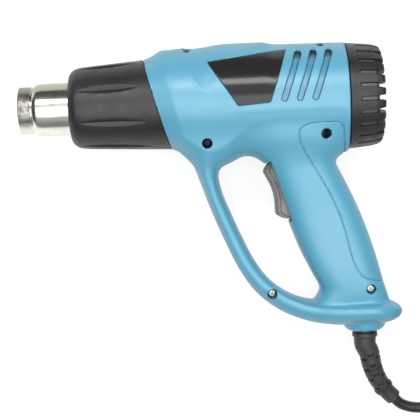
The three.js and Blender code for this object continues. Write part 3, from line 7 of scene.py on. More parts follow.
import bmesh
import bpy
import numpy as np
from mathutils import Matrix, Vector


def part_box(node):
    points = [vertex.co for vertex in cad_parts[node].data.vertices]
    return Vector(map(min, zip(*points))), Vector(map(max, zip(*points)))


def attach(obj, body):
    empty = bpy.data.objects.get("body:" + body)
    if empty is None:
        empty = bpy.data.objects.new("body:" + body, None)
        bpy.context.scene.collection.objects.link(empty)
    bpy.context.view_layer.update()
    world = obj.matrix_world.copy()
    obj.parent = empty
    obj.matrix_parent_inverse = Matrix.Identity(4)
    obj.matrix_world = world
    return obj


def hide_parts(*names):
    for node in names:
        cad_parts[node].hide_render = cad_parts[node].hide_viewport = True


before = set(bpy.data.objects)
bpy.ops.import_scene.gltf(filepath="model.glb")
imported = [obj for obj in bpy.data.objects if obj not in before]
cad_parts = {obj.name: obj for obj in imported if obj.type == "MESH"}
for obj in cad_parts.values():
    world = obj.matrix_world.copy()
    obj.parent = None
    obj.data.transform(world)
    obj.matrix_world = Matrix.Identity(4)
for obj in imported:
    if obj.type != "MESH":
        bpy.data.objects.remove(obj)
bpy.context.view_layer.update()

# Sizes of the tool, in millimetres
COLLAR_START = 39.5
SEAM = 102.3
CAP_SEAM = 236.7
REAR_END = 262.3
SEAM_TILT = math.radians(15.4)
SEAM_TILT_RUN = 52
COLLAR_FRONT_RADIUS = 29.5
SEAM_RADIUS = 32.7
BARREL_RADIUS = 38.4
HUMP = 2.9
WALL = 2.2
TUBE_RADIUS = 19
TIP_RADIUS = 17
TIP_LENGTH = 11.5
BASE_DROP = 158
BOSS_END = -171.2
CORD_X = CAP_SEAM + 9.2
GRIP_HALF_WIDTH = 20
STRAP_HALF_WIDTH = 10
BASE_HALF_WIDTH = 24
BOSS_RADIUS = 15.8
CORD_RADIUS = 4
PARTING_GAP = 0.15

# Where the tool lies: its mouth, its barrel's axis and its lean, from the frame
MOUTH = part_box("outlet_tube")[0].x
AXIS = (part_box("outlet_tube")[0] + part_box("outlet_tube")[1]) / 2
REACH = math.hypot(BASE_DROP, BASE_HALF_WIDTH)
LIE = math.asin((BARREL_RADIUS + 0.2) / REACH) - math.atan2(BASE_HALF_WIDTH, BASE_DROP)


def placed(points):
    """Tool frame millimetres to the frame's metres: turned by the lean about the barrel's axis."""
    p = np.asarray(points, float) / 1000
    y = AXIS.y + p[..., 1] * math.cos(LIE) - p[..., 2] * math.sin(LIE)
    z = AXIS.z + p[..., 1] * math.sin(LIE) + p[..., 2] * math.cos(LIE)
    return np.stack([MOUTH + p[..., 0], y, z], -1)


def on_table(points):
    """Table frame millimetres to the frame's metres: moved, not turned."""
    return np.asarray(points, float) / 1000 + [MOUTH, AXIS.y, 0]


def to_table(points):
    """Tool frame to table frame, both in millimetres."""
    return (placed(points) - [MOUTH, AXIS.y, 0]) * 1000


# Lines and sections

def through(stations):
    """Cubic through (at, value) stations: each takes the slope of its neighbours, and it is flat beyond the
    ends."""
    at, value = np.array(stations, float).T
    before = np.maximum(np.arange(len(at)) - 1, 0)
    after = np.minimum(np.arange(len(at)) + 1, len(at) - 1)
    slope = (value[after] - value[before]) / (at[after] - at[before])

    def line(x):
        x = np.clip(x, at[0], at[-1])
        i = np.clip(np.searchsorted(at, x, side="right") - 1, 0, len(at) - 2)
        run = at[i + 1] - at[i]
        t = (x - at[i]) / run
        ends = value[i] * (2 * t**3 - 3 * t * t + 1) + value[i + 1] * (3 * t * t - 2 * t**3)
        return ends + run * (slope[i] * (t**3 - 2 * t * t + t) + slope[i + 1] * (t**3 - t * t))

    return line


def spline(points, per_span):
    """Centripetal Catmull-Rom through the points: Hermite spans, their knots the roots of the distances."""
    p = np.array(points, float)
    p = np.vstack([2 * p[0] - p[1], p, 2 * p[-1] - p[-2]])
    knot = np.sqrt(np.linalg.norm(np.diff(p, axis=0), axis=1))[:, None]
    k0, k1, k2 = knot[:-2], knot[1:-1], knot[2:]
    a, b, c, d = p[:-3], p[1:-2], p[2:-1], p[3:]
    start = k1 * ((b - a) / k0 - (c - a) / (k0 + k1) + (c - b) / k1)
    end = k1 * ((c - b) / k1 - (d - b) / (k1 + k2) + (d - c) / k2)
    t = (np.arange(per_span) / per_span)[None, :, None]
    b, c, start, end = (v[:, None, :] for v in (b, c, start, end))
    line = b * (2 * t**3 - 3 * t * t + 1) + c * (3 * t * t - 2 * t**3)
    line = line + start * (t**3 - 2 * t * t + t) + end * (t**3 - t * t)
    return np.vstack([line.reshape(-1, p.shape[1]), p[-2]])


def step_up(low, high, x):
    """Smooth rise from 0 at low to 1 at high: 3t^2 - 2t^3."""
    t = np.clip((x - low) / (high - low), 0, 1)
    return t * t * (3 - 2 * t)


def lengths(points):
    """Distance run at each point of a line."""
    return np.concatenate([[0], np.cumsum(np.linalg.norm(np.diff(points, axis=0), axis=1))])


def even(points, at):
    """The points of a line at the given distances along it."""
    run = lengths(points)
    return np.stack([np.interp(at, run, points[:, k]) for k in range(points.shape[1])], 1)


def frames_along(points):
    """Tangent, side and up at each point of a line: the side is carried along, square to the tangent."""
    tangent = np.gradient(points, axis=0)
    tangent /= np.linalg.norm(tangent, axis=1)[:, None]
    side = np.cross(tangent, [0, 0, 1])
    side /= np.maximum(np.linalg.norm(side, axis=1), 1e-9)[:, None]
    return tangent, side, np.cross(side, tangent)


# Meshes

def sewn(mesh, dissolve):
    """The mesh with its doubles merged, its collapsed faces dissolved if told, and its faces turned out."""
    made = bmesh.new()
    made.from_mesh(mesh)
    bmesh.ops.remove_doubles(made, verts=made.verts, dist=2e-6)
    if dissolve:
        bmesh.ops.dissolve_degenerate(made, edges=made.edges, dist=1e-6)
    bmesh.ops.recalc_face_normals(made, faces=made.faces)
    made.to_mesh(mesh)
    made.free()
    return mesh


def mesh_of(name, points, faces):
    """A mesh of metre points and faces."""
    mesh = bpy.data.meshes.new(name)
    mesh.from_pydata(points.tolist(), [], faces.tolist())
    return sewn(mesh, dissolve=True)


def points_of(mesh):
    """The points of a mesh as an array of three columns."""
    flat = np.zeros(len(mesh.vertices) * 3)
    mesh.vertices.foreach_get("co", flat)
    return flat.reshape(-1, 3)


def grid_faces(rows, columns, around_rows=False, around_columns=False):
    """Quads between the neighbours of a grid of points, and across its edges where it closes."""
    r = np.arange(rows if around_rows else rows - 1)
    c = np.arange(columns if around_columns else columns - 1)
    r, c = np.meshgrid(r, c, indexing="ij")
    down, right = (r + 1) % rows, (c + 1) % columns
    quads = np.stack([r * columns + c, r * columns + right, down * columns + right, down * columns + c], -1)
    return quads.reshape(-1, 4)


def piece(mesh, body, finish, replaces=(), crease=35):
    """An object on a mesh that is already in place: it rides on its body and stands for CAD nodes."""
    mesh.set_sharp_from_angle(angle=math.radians(crease))
    mesh.polygons.foreach_set("use_smooth", np.ones(len(mesh.polygons), bool))
    mesh.materials.append(finish)
    made = bpy.data.objects.new(mesh.name, mesh)
    bpy.context.scene.collection.objects.link(made)
    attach(made, body)
    if replaces:
        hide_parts(*replaces)
    return made


def surface(name, points, closed_rows=False, closed_columns=True):
    """A mesh on a grid of metre points, closed as told."""
    rows, columns = points.shape[:2]
    return mesh_of(name, points.reshape(-1, 3), grid_faces(rows, columns, closed_rows, closed_columns))


def marked(name, points, closed_rows, **values):
    """A mesh on a grid of metre points, closed all round, with a value for each point under each name."""
    mesh = bpy.data.meshes.new(name)
    faces = grid_faces(*points.shape[:2], closed_rows, True)
    mesh.from_pydata(points.reshape(-1, 3).tolist(), [], faces.tolist())
    for key, value in values.items():
        mark(mesh, key, value)
    return sewn(mesh, dissolve=False)


def mark(mesh, name, value):
    """Gives each point of a mesh a value under a name, which a finish reads."""
    made = mesh.attributes.new(name, "FLOAT", "POINT")
    made.data.foreach_set("value", value.ravel().astype(np.float32))


def modifier(made, kind, **values):
    """Adds a modifier with its values."""
    added = made.modifiers.new(kind.lower(), kind)
    for key, value in values.items():
        setattr(added, key, value)
    return added


def rounded_line(corners, radius, steps=5):
    """A polyline whose corners are arcs: each corner is replaced by points of a quadratic curve between its
    neighbours' sides, at most the radius away."""
    corners = np.array(corners, float)
    line = [corners[0]]
    for a, b, c in zip(corners[:-2], corners[1:-1], corners[2:]):
        reach_a = min(radius, np.linalg.norm(b - a) / 2.2)
        reach_c = min(radius, np.linalg.norm(c - b) / 2.2)
        start = b + (a - b) / np.linalg.norm(a - b) * reach_a
        end = b + (c - b) / np.linalg.norm(c - b) * reach_c
        for t in np.linspace(0, 1, steps):
            line.append((1 - t) ** 2 * start + 2 * t * (1 - t) * b + t * t * end)
    line.append(corners[-1])
    return np.array(line)


# Camera: straight above the table, high over the barrel's axis, rolled so that the barrel rises to the right
CAMERA_HEIGHT = 0.815
CAMERA_SIDE = 136.2
CAMERA_DROP = -77.7
CAMERA_ROLL = math.radians(2.7)
PICTURE_WIDTH = 0.3037

camera = bpy.data.objects.new("camera", bpy.data.cameras.new("camera"))
bpy.context.scene.collection.objects.link(camera)
bpy.context.scene.camera = camera
camera.location = (MOUTH + CAMERA_SIDE / 1000, AXIS.y + CAMERA_DROP / 1000, AXIS.z + CAMERA_HEIGHT)
camera.rotation_euler = (0, 0, -CAMERA_ROLL)
camera.data.sensor_width = 36
camera.data.lens = 36 * CAMERA_HEIGHT / PICTURE_WIDTH
camera.data.clip_start = 0.05
camera.data.clip_end = 20


# Finishes: each is a node tree of its own on Object coordinates, in metres

class Finish:
    """A material under way: its nodes, its Principled shader and the Object coordinates."""

    def __init__(self, name, color, roughness, **sockets):
        self.material = bpy.data.materials.new(name)
        self.material.use_nodes = True
        self.material.diffuse_color = (*color, 1)
        self.tree = self.material.node_tree
        self.shader = self.tree.nodes["Principled BSDF"]
        self.shader.inputs["Base Color"].default_value = (*color, 1)
        self.shader.inputs["Roughness"].default_value = roughness
        for socket, value in sockets.items():
            self.shader.inputs[socket.replace("_", " ")].default_value = value
        self.place = self.tree.nodes.new("ShaderNodeTexCoord").outputs["Object"]
        self.color = None

    def link(self, source, target):
        """Leads a node's output to an input."""
        self.tree.links.new(source, target)

    def node(self, kind, **values):
        """A new node with its settings."""
        made = self.tree.nodes.new(kind)
        for key, value in values.items():
            setattr(made, key, value)
        return made

    def stretched(self, scale):
        """Object coordinates multiplied by a scale for each axis."""
        mapping = self.node("ShaderNodeMapping")
        mapping.inputs["Scale"].default_value = scale
        self.link(self.place, mapping.inputs["Vector"])
        return mapping.outputs["Vector"]

    def noise(self, size, detail=3, rough=0.5, vector=None):
        """Noise whose lumps are about size metres across."""
        made = self.node("ShaderNodeTexNoise")
        made.inputs["Scale"].default_value = 1 / size
        made.inputs["Detail"].default_value = detail
        made.inputs["Roughness"].default_value = rough
        self.link(vector or self.place, made.inputs["Vector"])
        return made.outputs["Fac"]

    def attribute(self, name):
        """The value that each point of the piece has under a name."""
        return self.node("ShaderNodeAttribute", attribute_name=name).outputs["Fac"]

    def span(self, source, low, high, to_low, to_high):
        """A value brought from low..high to to_low..to_high, held at the ends."""
        made = self.node("ShaderNodeMapRange", clamp=True)
        for key, value in zip(("From Min", "From Max", "To Min", "To Max"), (low, high, to_low, to_high)):
            made.inputs[key].default_value = value
        self.link(source, made.inputs["Value"])
        return made.outputs["Result"]

    def tint(self, share, color):
        """Mixes the colour so far with another one by a share."""
        mix = self.node("ShaderNodeMix", data_type="RGBA")
        if self.color is None:
            mix.inputs[6].default_value = self.shader.inputs["Base Color"].default_value
        else:
            self.link(self.color, mix.inputs[6])
        mix.inputs[7].default_value = (*color, 1)
        self.link(share, mix.inputs[0])
        self.color = mix.outputs[2]
        self.link(self.color, self.shader.inputs["Base Color"])

    def rough(self, source, low, high, to_low, to_high):
        """Roughness that follows a value."""
        self.link(self.span(source, low, high, to_low, to_high), self.shader.inputs["Roughness"])

    def bump(self, source, distance, strength=1.0):
        """Bumps of that height in metres, on top of those so far."""
        made = self.node("ShaderNodeBump")
        made.inputs["Distance"].default_value = distance
        made.inputs["Strength"].default_value = strength
        self.link(source, made.inputs["Height"])
        normal = self.shader.inputs["Normal"]
        if normal.is_linked:
            self.link(normal.links[0].from_socket, made.inputs["Normal"])
        self.link(made.outputs["Normal"], normal)


def shade(red, green, blue):
    """A colour given as it shows on a screen, 0 to 255, brought to linear light."""
    values = [c / 255 for c in (red, green, blue)]
    return tuple(v / 12.92 if v <= 0.04045 else ((v + 0.055) / 1.055) ** 2.4 for v in values)


def housing_finish():
    """Satin moulded plastic: a broad drift of tone, paler specks, painted shade in hollows and a fine grain.
    """
    made = Finish("housing_blue", shade(84, 160, 188), 0.36, Specular_IOR_Level=1.0)
    made.tint(made.span(made.noise(0.05, 2), 0.35, 0.7, 0, 0.22), shade(75, 151, 181))
    made.tint(made.span(made.noise(0.0035, 4, 0.6), 0.5, 0.75, 0, 0.1), shade(100, 173, 198))
    # Painted shade in grooves, slots and screw wells, darkest in the slots' upper pockets
    made.tint(made.attribute("hollow"), shade(22, 58, 78))
    made.rough(made.noise(0.012, 5, 0.6), 0.3, 0.7, 0.34, 0.46)
    made.bump(made.noise(0.0009, 2, 0.6), 0.00003, 0.35)
    made.bump(made.noise(0.022, 2), 0.0004, 0.1)
    return made.material


def dark_finish():
    """Charcoal moulded plastic with a coarser grain, paler rubbed patches, paler groove floors, and painted
    shade in hollows."""
    made = Finish("dark_satin", shade(22, 23, 25), 0.39, Specular_IOR_Level=0.6)
    made.tint(made.span(made.noise(0.03, 3), 0.4, 0.7, 0, 0.3), shade(31, 32, 34))
    made.tint(made.span(made.noise(0.0016, 3, 0.7), 0.55, 0.8, 0, 0.2), shade(70, 71, 72))
    # Paler floors in the cap's grooves
    made.tint(made.attribute("polish"), shade(84, 85, 86))
    # Painted shade along the rims of the cap's grooves
    made.tint(made.attribute("hollow"), shade(12, 12, 13))
    made.rough(made.noise(0.008, 5, 0.6), 0.3, 0.7, 0.36, 0.52)
    made.bump(made.noise(0.0008, 2, 0.6), 0.00004, 0.4)
    return made.material


def outlet_finish():
    """Plated steel: fine turning lines round the tube, blotches, a heat-burnt tip ring left pale at its
    lowest part as painted reflection, painted darker reflection along the upper side and soft dents in the
    plating."""
    made = Finish("outlet_plate", shade(230, 231, 223), 0.24, Metallic=1.0)
    around = made.noise(0.0012, 3, 0.6, made.stretched((9, 0.6, 0.6)))
    made.tint(made.span(made.noise(0.011, 4, 0.6), 0.42, 0.68, 0, 0.4), shade(204, 198, 180))
    made.tint(made.span(made.noise(0.004, 5, 0.7), 0.58, 0.72, 0, 0.35), shade(140, 134, 122))
    apart = made.node("ShaderNodeSeparateXYZ")
    made.link(made.place, apart.inputs[0])
    tip = MOUTH + TIP_LENGTH / 1000
    ring = made.span(apart.outputs["X"], tip + 0.0001, tip + 0.0007, 1, 0)
    burnt = made.node("ShaderNodeMath", operation="MULTIPLY")
    made.link(ring, burnt.inputs[0])
    made.link(made.span(made.noise(0.005, 4, 0.7), 0.35, 0.6, 0.5, 0.95), burnt.inputs[1])
    # The burnt tint is real, but it is left off the ring's lowest part as a painted reflection of the pale
    # floor
    above = made.span(apart.outputs["Y"], AXIS.y - 0.0104, AXIS.y - 0.0096, 0, 1)
    upper = made.node("ShaderNodeMath", operation="MULTIPLY")
    made.link(burnt.outputs[0], upper.inputs[0])
    made.link(above, upper.inputs[1])
    made.tint(upper.outputs[0], shade(98, 94, 84))
    # Painted reflection: a darker band along the tube's upper side
    stain = made.span(apart.outputs["Y"], AXIS.y + 0.007, AXIS.y + 0.012, 0, 0.75)
    made.tint(stain, shade(150, 146, 132))
    worn = made.span(made.noise(0.006, 5, 0.65), 0.35, 0.7, 0.13, 0.26)
    rougher = made.node("ShaderNodeMath", operation="MAXIMUM")
    made.link(worn, rougher.inputs[0])
    made.link(made.span(ring, 0, 1, 0, 0.36), rougher.inputs[1])
    made.link(rougher.outputs[0], made.shader.inputs["Roughness"])
    made.bump(around, 0.00002, 0.4)
    made.bump(made.noise(0.007, 2), 0.0002, 0.16)
    return made.material


def label_finish():
    """Glossy black film with a faint ripple and fine hairlines."""
    made = Finish("label_black", shade(36, 36, 37), 0.15, Specular_IOR_Level=0.36, Coat_Weight=0.1,
                  Coat_Roughness=0.08)
    made.tint(made.span(made.noise(0.02, 2), 0.4, 0.7, 0, 0.4), shade(46, 45, 45))
    made.rough(made.noise(0.003, 5, 0.7, made.stretched((1, 6, 1))), 0.4, 0.75, 0.12, 0.24)
    made.bump(made.noise(0.014, 2), 0.0003, 0.12)
    return made.material


def screw_finish(name, color):
    """Plated screw steel with a slight stain and painted shade in the cross recess."""
    made = Finish(name, color, 0.26, Metallic=1.0)
    made.tint(made.span(made.noise(0.0015, 3), 0.5, 0.75, 0, 0.5), tuple(c * 0.5 for c in color))
    # Painted shade in the cross recess
    made.tint(made.attribute("hollow"), tuple(c * 0.4 for c in color))
    made.rough(made.noise(0.001, 3), 0.3, 0.7, 0.2, 0.42)
    return made.material


def rocker_finish():
    """Warm grey switch plastic, matt, paler in patches, with painted shade in the grooves of its cheeks."""
    made = Finish("rocker_grey", shade(126, 121, 120), 0.5)
    made.tint(made.span(made.noise(0.006, 3), 0.4, 0.7, 0, 0.3), shade(140, 136, 134))
    # Painted shade in the cheek grooves
    made.tint(made.span(made.attribute("hollow"), 0, 1, 0, 0.9), shade(28, 27, 27))
    made.rough(made.noise(0.002, 4, 0.6), 0.3, 0.7, 0.42, 0.58)
    made.bump(made.noise(0.0007, 2), 0.00003, 0.4)
    return made.material


def rubber_finish(name, color, roughness):
    """Soft black plastic with a faint bloom and fine moulding texture."""
    made = Finish(name, color, roughness, Specular_IOR_Level=0.5)
    paler = tuple(min(1, c * 2.2 + 0.004) for c in color)
    made.tint(made.span(made.noise(0.012, 4, 0.6), 0.45, 0.75, 0, 0.4), paler)
    made.rough(made.noise(0.005, 4, 0.6), 0.3, 0.7, roughness - 0.07, roughness + 0.1)
    made.bump(made.noise(0.001, 3, 0.6), 0.00004, 0.4)
    return made.material


def metal_finish(name, color, roughness, lump=0.004):
    """Plain metal with a stain that follows a noise."""
    made = Finish(name, color, roughness, Metallic=1.0)
    darker = tuple(c * 0.55 for c in color)
    made.tint(made.span(made.noise(lump, 4, 0.6), 0.5, 0.8, 0, 0.6), darker)
    made.rough(made.noise(lump / 2, 4, 0.6), 0.3, 0.7, roughness - 0.06, roughness + 0.14)
    made.bump(made.noise(0.0008, 2), 0.00002, 0.3)
    return made.material


def plain_finish(name, color, roughness, lump=0.006):
    """Moulded or pressed matter whose tone drifts a little, with a fine grain."""
    made = Finish(name, color, roughness)
    darker = tuple(c * 0.72 for c in color)
    made.tint(made.span(made.noise(lump, 4, 0.6), 0.45, 0.75, 0, 0.5), darker)
    made.rough(made.noise(lump / 3, 4, 0.6), 0.3, 0.7, roughness - 0.06, roughness + 0.1)
    made.bump(made.noise(0.0006, 2), 0.00003, 0.4)
    return made.material


def mica_finish():
    """Pressed mica: flakes from cell noise between two straw tones, with a silky sheen."""
    made = Finish("mica_sheet", shade(176, 160, 128), 0.42)
    cells = made.node("ShaderNodeTexVoronoi")
    cells.inputs["Scale"].default_value = 420
    made.link(made.place, cells.inputs["Vector"])
    made.tint(made.span(cells.outputs["Distance"], 0.1, 0.6, 0, 0.6), shade(206, 192, 160))
    made.rough(cells.outputs["Distance"], 0.1, 0.6, 0.28, 0.5)
    made.bump(cells.outputs["Distance"], 0.00003, 0.4)
    return made.material


HOUSING = housing_finish()
DARK = dark_finish()
OUTLET = outlet_finish()
LABEL_FILM = label_finish()
SCREW = screw_finish("screw_zinc", shade(214, 214, 208))
# Darker steel on the screws deep in their wells, as painted shade of the wells
DEEP_SCREW_SHADED = screw_finish("screw_steel_shaded", shade(84, 92, 102))
ROCKER = rocker_finish()
CORD = rubber_finish("cord_black", shade(30, 31, 33), 0.36)
RELIEF = rubber_finish("relief_black", shade(50, 51, 53), 0.46)
BRASS = metal_finish("contact_brass_plate", shade(206, 170, 96), 0.26)


# Cord: lead from the relief, coil beyond the picture's edge, tail and plug, on the route of the CAD solids

LEAD_ROUTE = [
    (267, -224.2, 8.1), (272.2, -229.4, 6.4), (279.9, -232.7, 5), (287.5, -233.8, 4.3), (298, -234, 4.1),
    (320, -234, 4.1), (340, -234, 4.7), (349, -234, 5.4), (357.7, -234, 5.4),
]
TAIL_ROUTE = [
    (426, -165.7, 14.1), (426, -158, 13.6), (426.3, -145, 9.6), (426.6, -130, 5.2), (426.6, -116, 4.2),
    (426.2, -104, 5), (426, -96, 6.4), (426, -88, 6.5),
]
RELIEF_END = (266.8, -224, 8.2)
COIL_CENTRE = (366, -174)
COIL_RADIUS = 60
COIL_PITCH = 8.7
COIL_LAYER_TURNS = 2.375
COIL_LIFT = 1.4
COIL_STEPS = 60


def coil_line():
    """The coil's middle line: the radius falls by a pitch a turn on the lower layer, the line climbs a
    pitch in half a turn along 3t^2 - 2t^3 while the radius dips, and the radius grows by a pitch a turn on
    the upper layer."""
    turns = 2 * COIL_LAYER_TURNS + 0.5
    turn = np.linspace(0, turns, round(turns * COIL_STEPS) + 1)
    climb = np.clip((turn - COIL_LAYER_TURNS) / 0.5, 0, 1)
    inward = np.minimum(turn, COIL_LAYER_TURNS)
    outward = np.maximum(0, turn - COIL_LAYER_TURNS - 0.5)
    radius = COIL_RADIUS - COIL_PITCH * (inward - outward) - 0.5 * COIL_PITCH * climb * (1 - climb)
    angle = 2 * np.pi * (turn - 0.25)
    height = COIL_LIFT + CORD_RADIUS + COIL_PITCH * climb**2 * (3 - 2 * climb)
    x = COIL_CENTRE[0] + radius * np.cos(angle)
    y = COIL_CENTRE[1] + radius * np.sin(angle)
    return np.stack([x, y, height], 1)


def cord_line():
    """The lead's, the coil's and the tail's points in one line, in the table frame."""
    return np.vstack([spline(LEAD_ROUTE, 8)[:-1], coil_line(), spline(TAIL_ROUTE, 6)])


def tube(name, line, radius, sides=20):
    """A tube: rings of one radius square to the line, shrunk to a point at the ends."""
    _, side, up = frames_along(line)
    line, side, up = (np.vstack([row[:1], row, row[-1:]]) for row in (line, side, up))
    size = np.full(len(line), float(radius))
    size[[0, -1]] = 0
    turn = np.linspace(0, 2 * np.pi, sides, endpoint=False)[None, :, None]
    ring = np.cos(turn) * side[:, None] + np.sin(turn) * up[:, None]
    return surface(name, on_table(line[:, None] + size[:, None, None] * ring))


CORD_LINE = cord_line()
cord = piece(tube("mains_cord", CORD_LINE, CORD_RADIUS), "tool", CORD,
             ("cord_lead", "cord_coil", "cord_tail"))


# Tie round the coil's turns

TIE_ANGLE = math.radians(100)
TIE_WIDTH = 10
TIE_THICKNESS = 1
TIE_ROUNDNESS = 0.42


def tie():
    """A flat band: loops round the bundle of turns at its two edges, outside and a thickness further in. A
    loop is a superellipse: each axis follows a cosine or sine to the power of the roundness, with its
    sign."""
    away = np.array([math.cos(TIE_ANGLE), math.sin(TIE_ANGLE)])
    across = np.array([-away[1], away[0]])
    inner = COIL_RADIUS - 2.4 * COIL_PITCH - CORD_RADIUS - 1.9
    outer = COIL_RADIUS + CORD_RADIUS + 1.6
    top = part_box("cord_tie")[1].z * 1000
    half = (outer - inner) / 2
    middle = (outer + inner) / 2
    turn = np.linspace(0, 2 * np.pi, 96, endpoint=False)
    out = np.sign(np.cos(turn)) * np.abs(np.cos(turn)) ** TIE_ROUNDNESS
    up = np.sign(np.sin(turn)) * np.abs(np.sin(turn)) ** TIE_ROUNDNESS
    loops = []
    for grow, w in ((0, -1), (0, 1), (-TIE_THICKNESS, 1), (-TIE_THICKNESS, -1)):
        u = middle + (half + grow) * out
        v = top / 2 + (top / 2 + grow) * up
        flat = np.array(COIL_CENTRE) + u[:, None] * away + w * TIE_WIDTH / 2 * across
        loops.append(np.column_stack([flat, v]))
    return surface("tie_band", on_table(np.array(loops)), closed_rows=True)


band = piece(tie(), "tool", plain_finish("tie_grey", shade(58, 58, 58), 0.6), ("cord_tie",))


# Housing: one field whose zero is the outer surface, joined from barrel, grip, guard band and boss

KNEE = SEAM + 13.2
cone_line = through([(SEAM, SEAM_RADIUS), (KNEE, BARREL_RADIUS - 0.7), (KNEE + 13, BARREL_RADIUS + 4)])
side_line = through([
    (KNEE - 4, BARREL_RADIUS - 1.2), (KNEE, BARREL_RADIUS - 0.8), (SEAM + 20, BARREL_RADIUS - 0.3),
    (SEAM + 35, BARREL_RADIUS + 0.2), (CAP_SEAM, BARREL_RADIUS),
])
top_cone_line = through([(SEAM, SEAM_RADIUS), (SEAM + 5, 34.6), (SEAM + 12, 38.9), (SEAM + 24, 45)])
top_line = through([
    (SEAM + 9, 38.2), (SEAM + 13, BARREL_RADIUS + 0.4), (SEAM + 18.7, BARREL_RADIUS + 0.24 * HUMP),
    (SEAM + 30, BARREL_RADIUS + 0.6 * HUMP), (SEAM + 48, BARREL_RADIUS + HUMP),
    (SEAM + 76, BARREL_RADIUS + HUMP), (SEAM + 77.2, BARREL_RADIUS + 0.96 * HUMP),
    (SEAM + 84, BARREL_RADIUS + 0.42 * HUMP), (SEAM + 86, BARREL_RADIUS + 0.36 * HUMP),
    (CAP_SEAM, BARREL_RADIUS + 0.2),
])


def smooth_min(a, b, k):
    """The lesser of two fields, rounded over k: min(a, b) - k h^2 / 4, where h = 1 - |a - b| / k or 0."""
    h = np.maximum(1 - np.abs(a - b) / k, 0)
    return np.minimum(a, b) - k * h * h / 4


def tilt_at(s):
    """Lean of the barrel's rings at a station, in radians: the seam's, fading to none."""
    return SEAM_TILT * np.clip(1 - (s - SEAM) / SEAM_TILT_RUN, 0, 1)


def station(x, y):
    """The station whose leaning ring passes through x, y: s = x + y tan(lean(s)), found by repeating it."""
    s = x + 0 * y
    for _ in range(5):
        s = x + y * np.tan(tilt_at(s))
    return s


def barrel(x, y, z):
    """Barrel: distance from the ellipse whose half-axes are the top or side line and the side line."""
    s = station(x, y)
    side = smooth_min(cone_line(s), side_line(s), 0.5)
    top = smooth_min(top_cone_line(s), top_line(s), 0.5)
    up = side + (top - side) * step_up(-6, 12, y)
    return (np.hypot(y / up, z / side) - 1) * side


grip_front = through([
    (0.09, CAP_SEAM - 76), (0.21, CAP_SEAM - 70), (0.27, CAP_SEAM - 62), (0.35, CAP_SEAM - 55.4),
    (0.46, CAP_SEAM - 48.9), (0.58, CAP_SEAM - 42.7), (0.7, CAP_SEAM - 35.8), (0.81, CAP_SEAM - 27.7),
    (0.87, CAP_SEAM - 23.1), (0.9, CAP_SEAM - 23.4), (0.94, CAP_SEAM - 28),
])
grip_rear = through([
    (0.09, CAP_SEAM - 1), (0.22, CAP_SEAM - 2.6), (0.25, CAP_SEAM - 6.2), (0.285, CAP_SEAM - 8.5),
    (0.32, CAP_SEAM - 6.6), (0.4, CAP_SEAM - 0.6), (0.51, CAP_SEAM + 7.1), (0.63, CAP_SEAM + 13.9),
    (0.74, CAP_SEAM + 19.1), (0.86, CAP_SEAM + 23.9), (0.94, CAP_SEAM + 27.6),
])
grip_width = through([
    (0.09, GRIP_HALF_WIDTH + 9.6), (0.16, GRIP_HALF_WIDTH + 8.6), (0.22, GRIP_HALF_WIDTH + 7.2),
    (0.34, GRIP_HALF_WIDTH + 4.4), (0.5, GRIP_HALF_WIDTH + 1.8), (0.65, GRIP_HALF_WIDTH + 0.6),
    (0.8, GRIP_HALF_WIDTH + 0.3), (0.89, GRIP_HALF_WIDTH - 1), (0.96, GRIP_HALF_WIDTH - 3.6),
])


GRIP_POWER = 2.8
GRIP_TOP = 0.13
GRIP_FOOT = 0.965


def grip(x, y, z):
    """Grip: distance from a superellipse at each level, whose half-axes are half the depth and the width."""
    level = -y / BASE_DROP
    front, rear, width = grip_front(level), grip_rear(level), grip_width(level)
    depth = (rear - front) / 2
    along, across = np.abs((x - (front + rear) / 2) / depth), np.abs(z / width)
    round_out = (along**GRIP_POWER + across**GRIP_POWER) ** (1 / GRIP_POWER)
    past_ends = np.maximum(-y - GRIP_FOOT * BASE_DROP, GRIP_TOP * BASE_DROP + y)
    return np.maximum((round_out - 1) * np.minimum(depth, width), past_ends)


# Rows of the guard band: outer x and drop, inner x and drop, and half width. The front rows count x from the
# front seam and the width from the strap's, and the rear ones count x from the cap's seam. A drop is a share
# of the base's.
FRONT_ROWS = [
    (13, 0.13, 60, 0.13, 19), (20.5, 0.24, 53, 0.259, 16), (25, 0.31, 42, 0.315, 13),
    (31.1, 0.428, 42.8, 0.398, 9.6), (37.4, 0.541, 49.1, 0.511, 7.2), (44.6, 0.654, 56.4, 0.623, 5.2),
    (52.8, 0.769, 64.3, 0.731, 3.6), (64.8, 0.885, 74.7, 0.827, 2.8),
]
REAR_ROWS = [
    (-52.6, 0.975, -45.3, 0.899, 13.4), (-30.9, 1.034, -28.7, 0.938, 16), (-12, 1.054, -11, 0.944, 21.5),
    (5, 1.056, 5, 0.944, 24), (20, 1.054, 20, 0.947, 22.5), (29, 1.044, 29, 0.955, 17),
    (35, 1.025, 35, 0.975, 10), (37.2, 1.006, 37.2, 0.994, 4),
]
BAND = [(SEAM + a, b, SEAM + c, d, STRAP_HALF_WIDTH + w) for a, b, c, d, w in FRONT_ROWS]
BAND += [(CAP_SEAM + a, b, CAP_SEAM + c, d, w) for a, b, c, d, w in REAR_ROWS]
BAND_OUTER = spline([(x, -drop * BASE_DROP, width) for x, drop, _, _, width in BAND], 5)
BAND_INNER = spline([(x, -drop * BASE_DROP, width) for _, _, x, drop, width in BAND], 5)
BAND_OUTLINE = np.vstack([BAND_OUTER[:, :2], BAND_INNER[::-1, :2]])
BAND_MIDDLE = (BAND_OUTER + BAND_INNER) / 2
BAND_HALF = np.linalg.norm(BAND_OUTER[:, :2] - BAND_INNER[:, :2], axis=1) / 2
STRAP_RIDGE = -0.02
BASE_RIDGE = -0.36
RIDGE_FADE = (56, 69)
BAND_POWER = 2.4
BASE_ABOVE = 0.6
BASE_BELOW = -0.5


def part_of(mask, far, work, *values):
    """Works something out only where a mask holds, and gives a far value elsewhere."""
    shape = np.broadcast_shapes(mask.shape, *(v.shape for v in values))
    mask = np.broadcast_to(mask, shape)
    result = np.full(shape, float(far))
    result[mask] = work(*(np.broadcast_to(v, shape)[mask] for v in values))
    return result


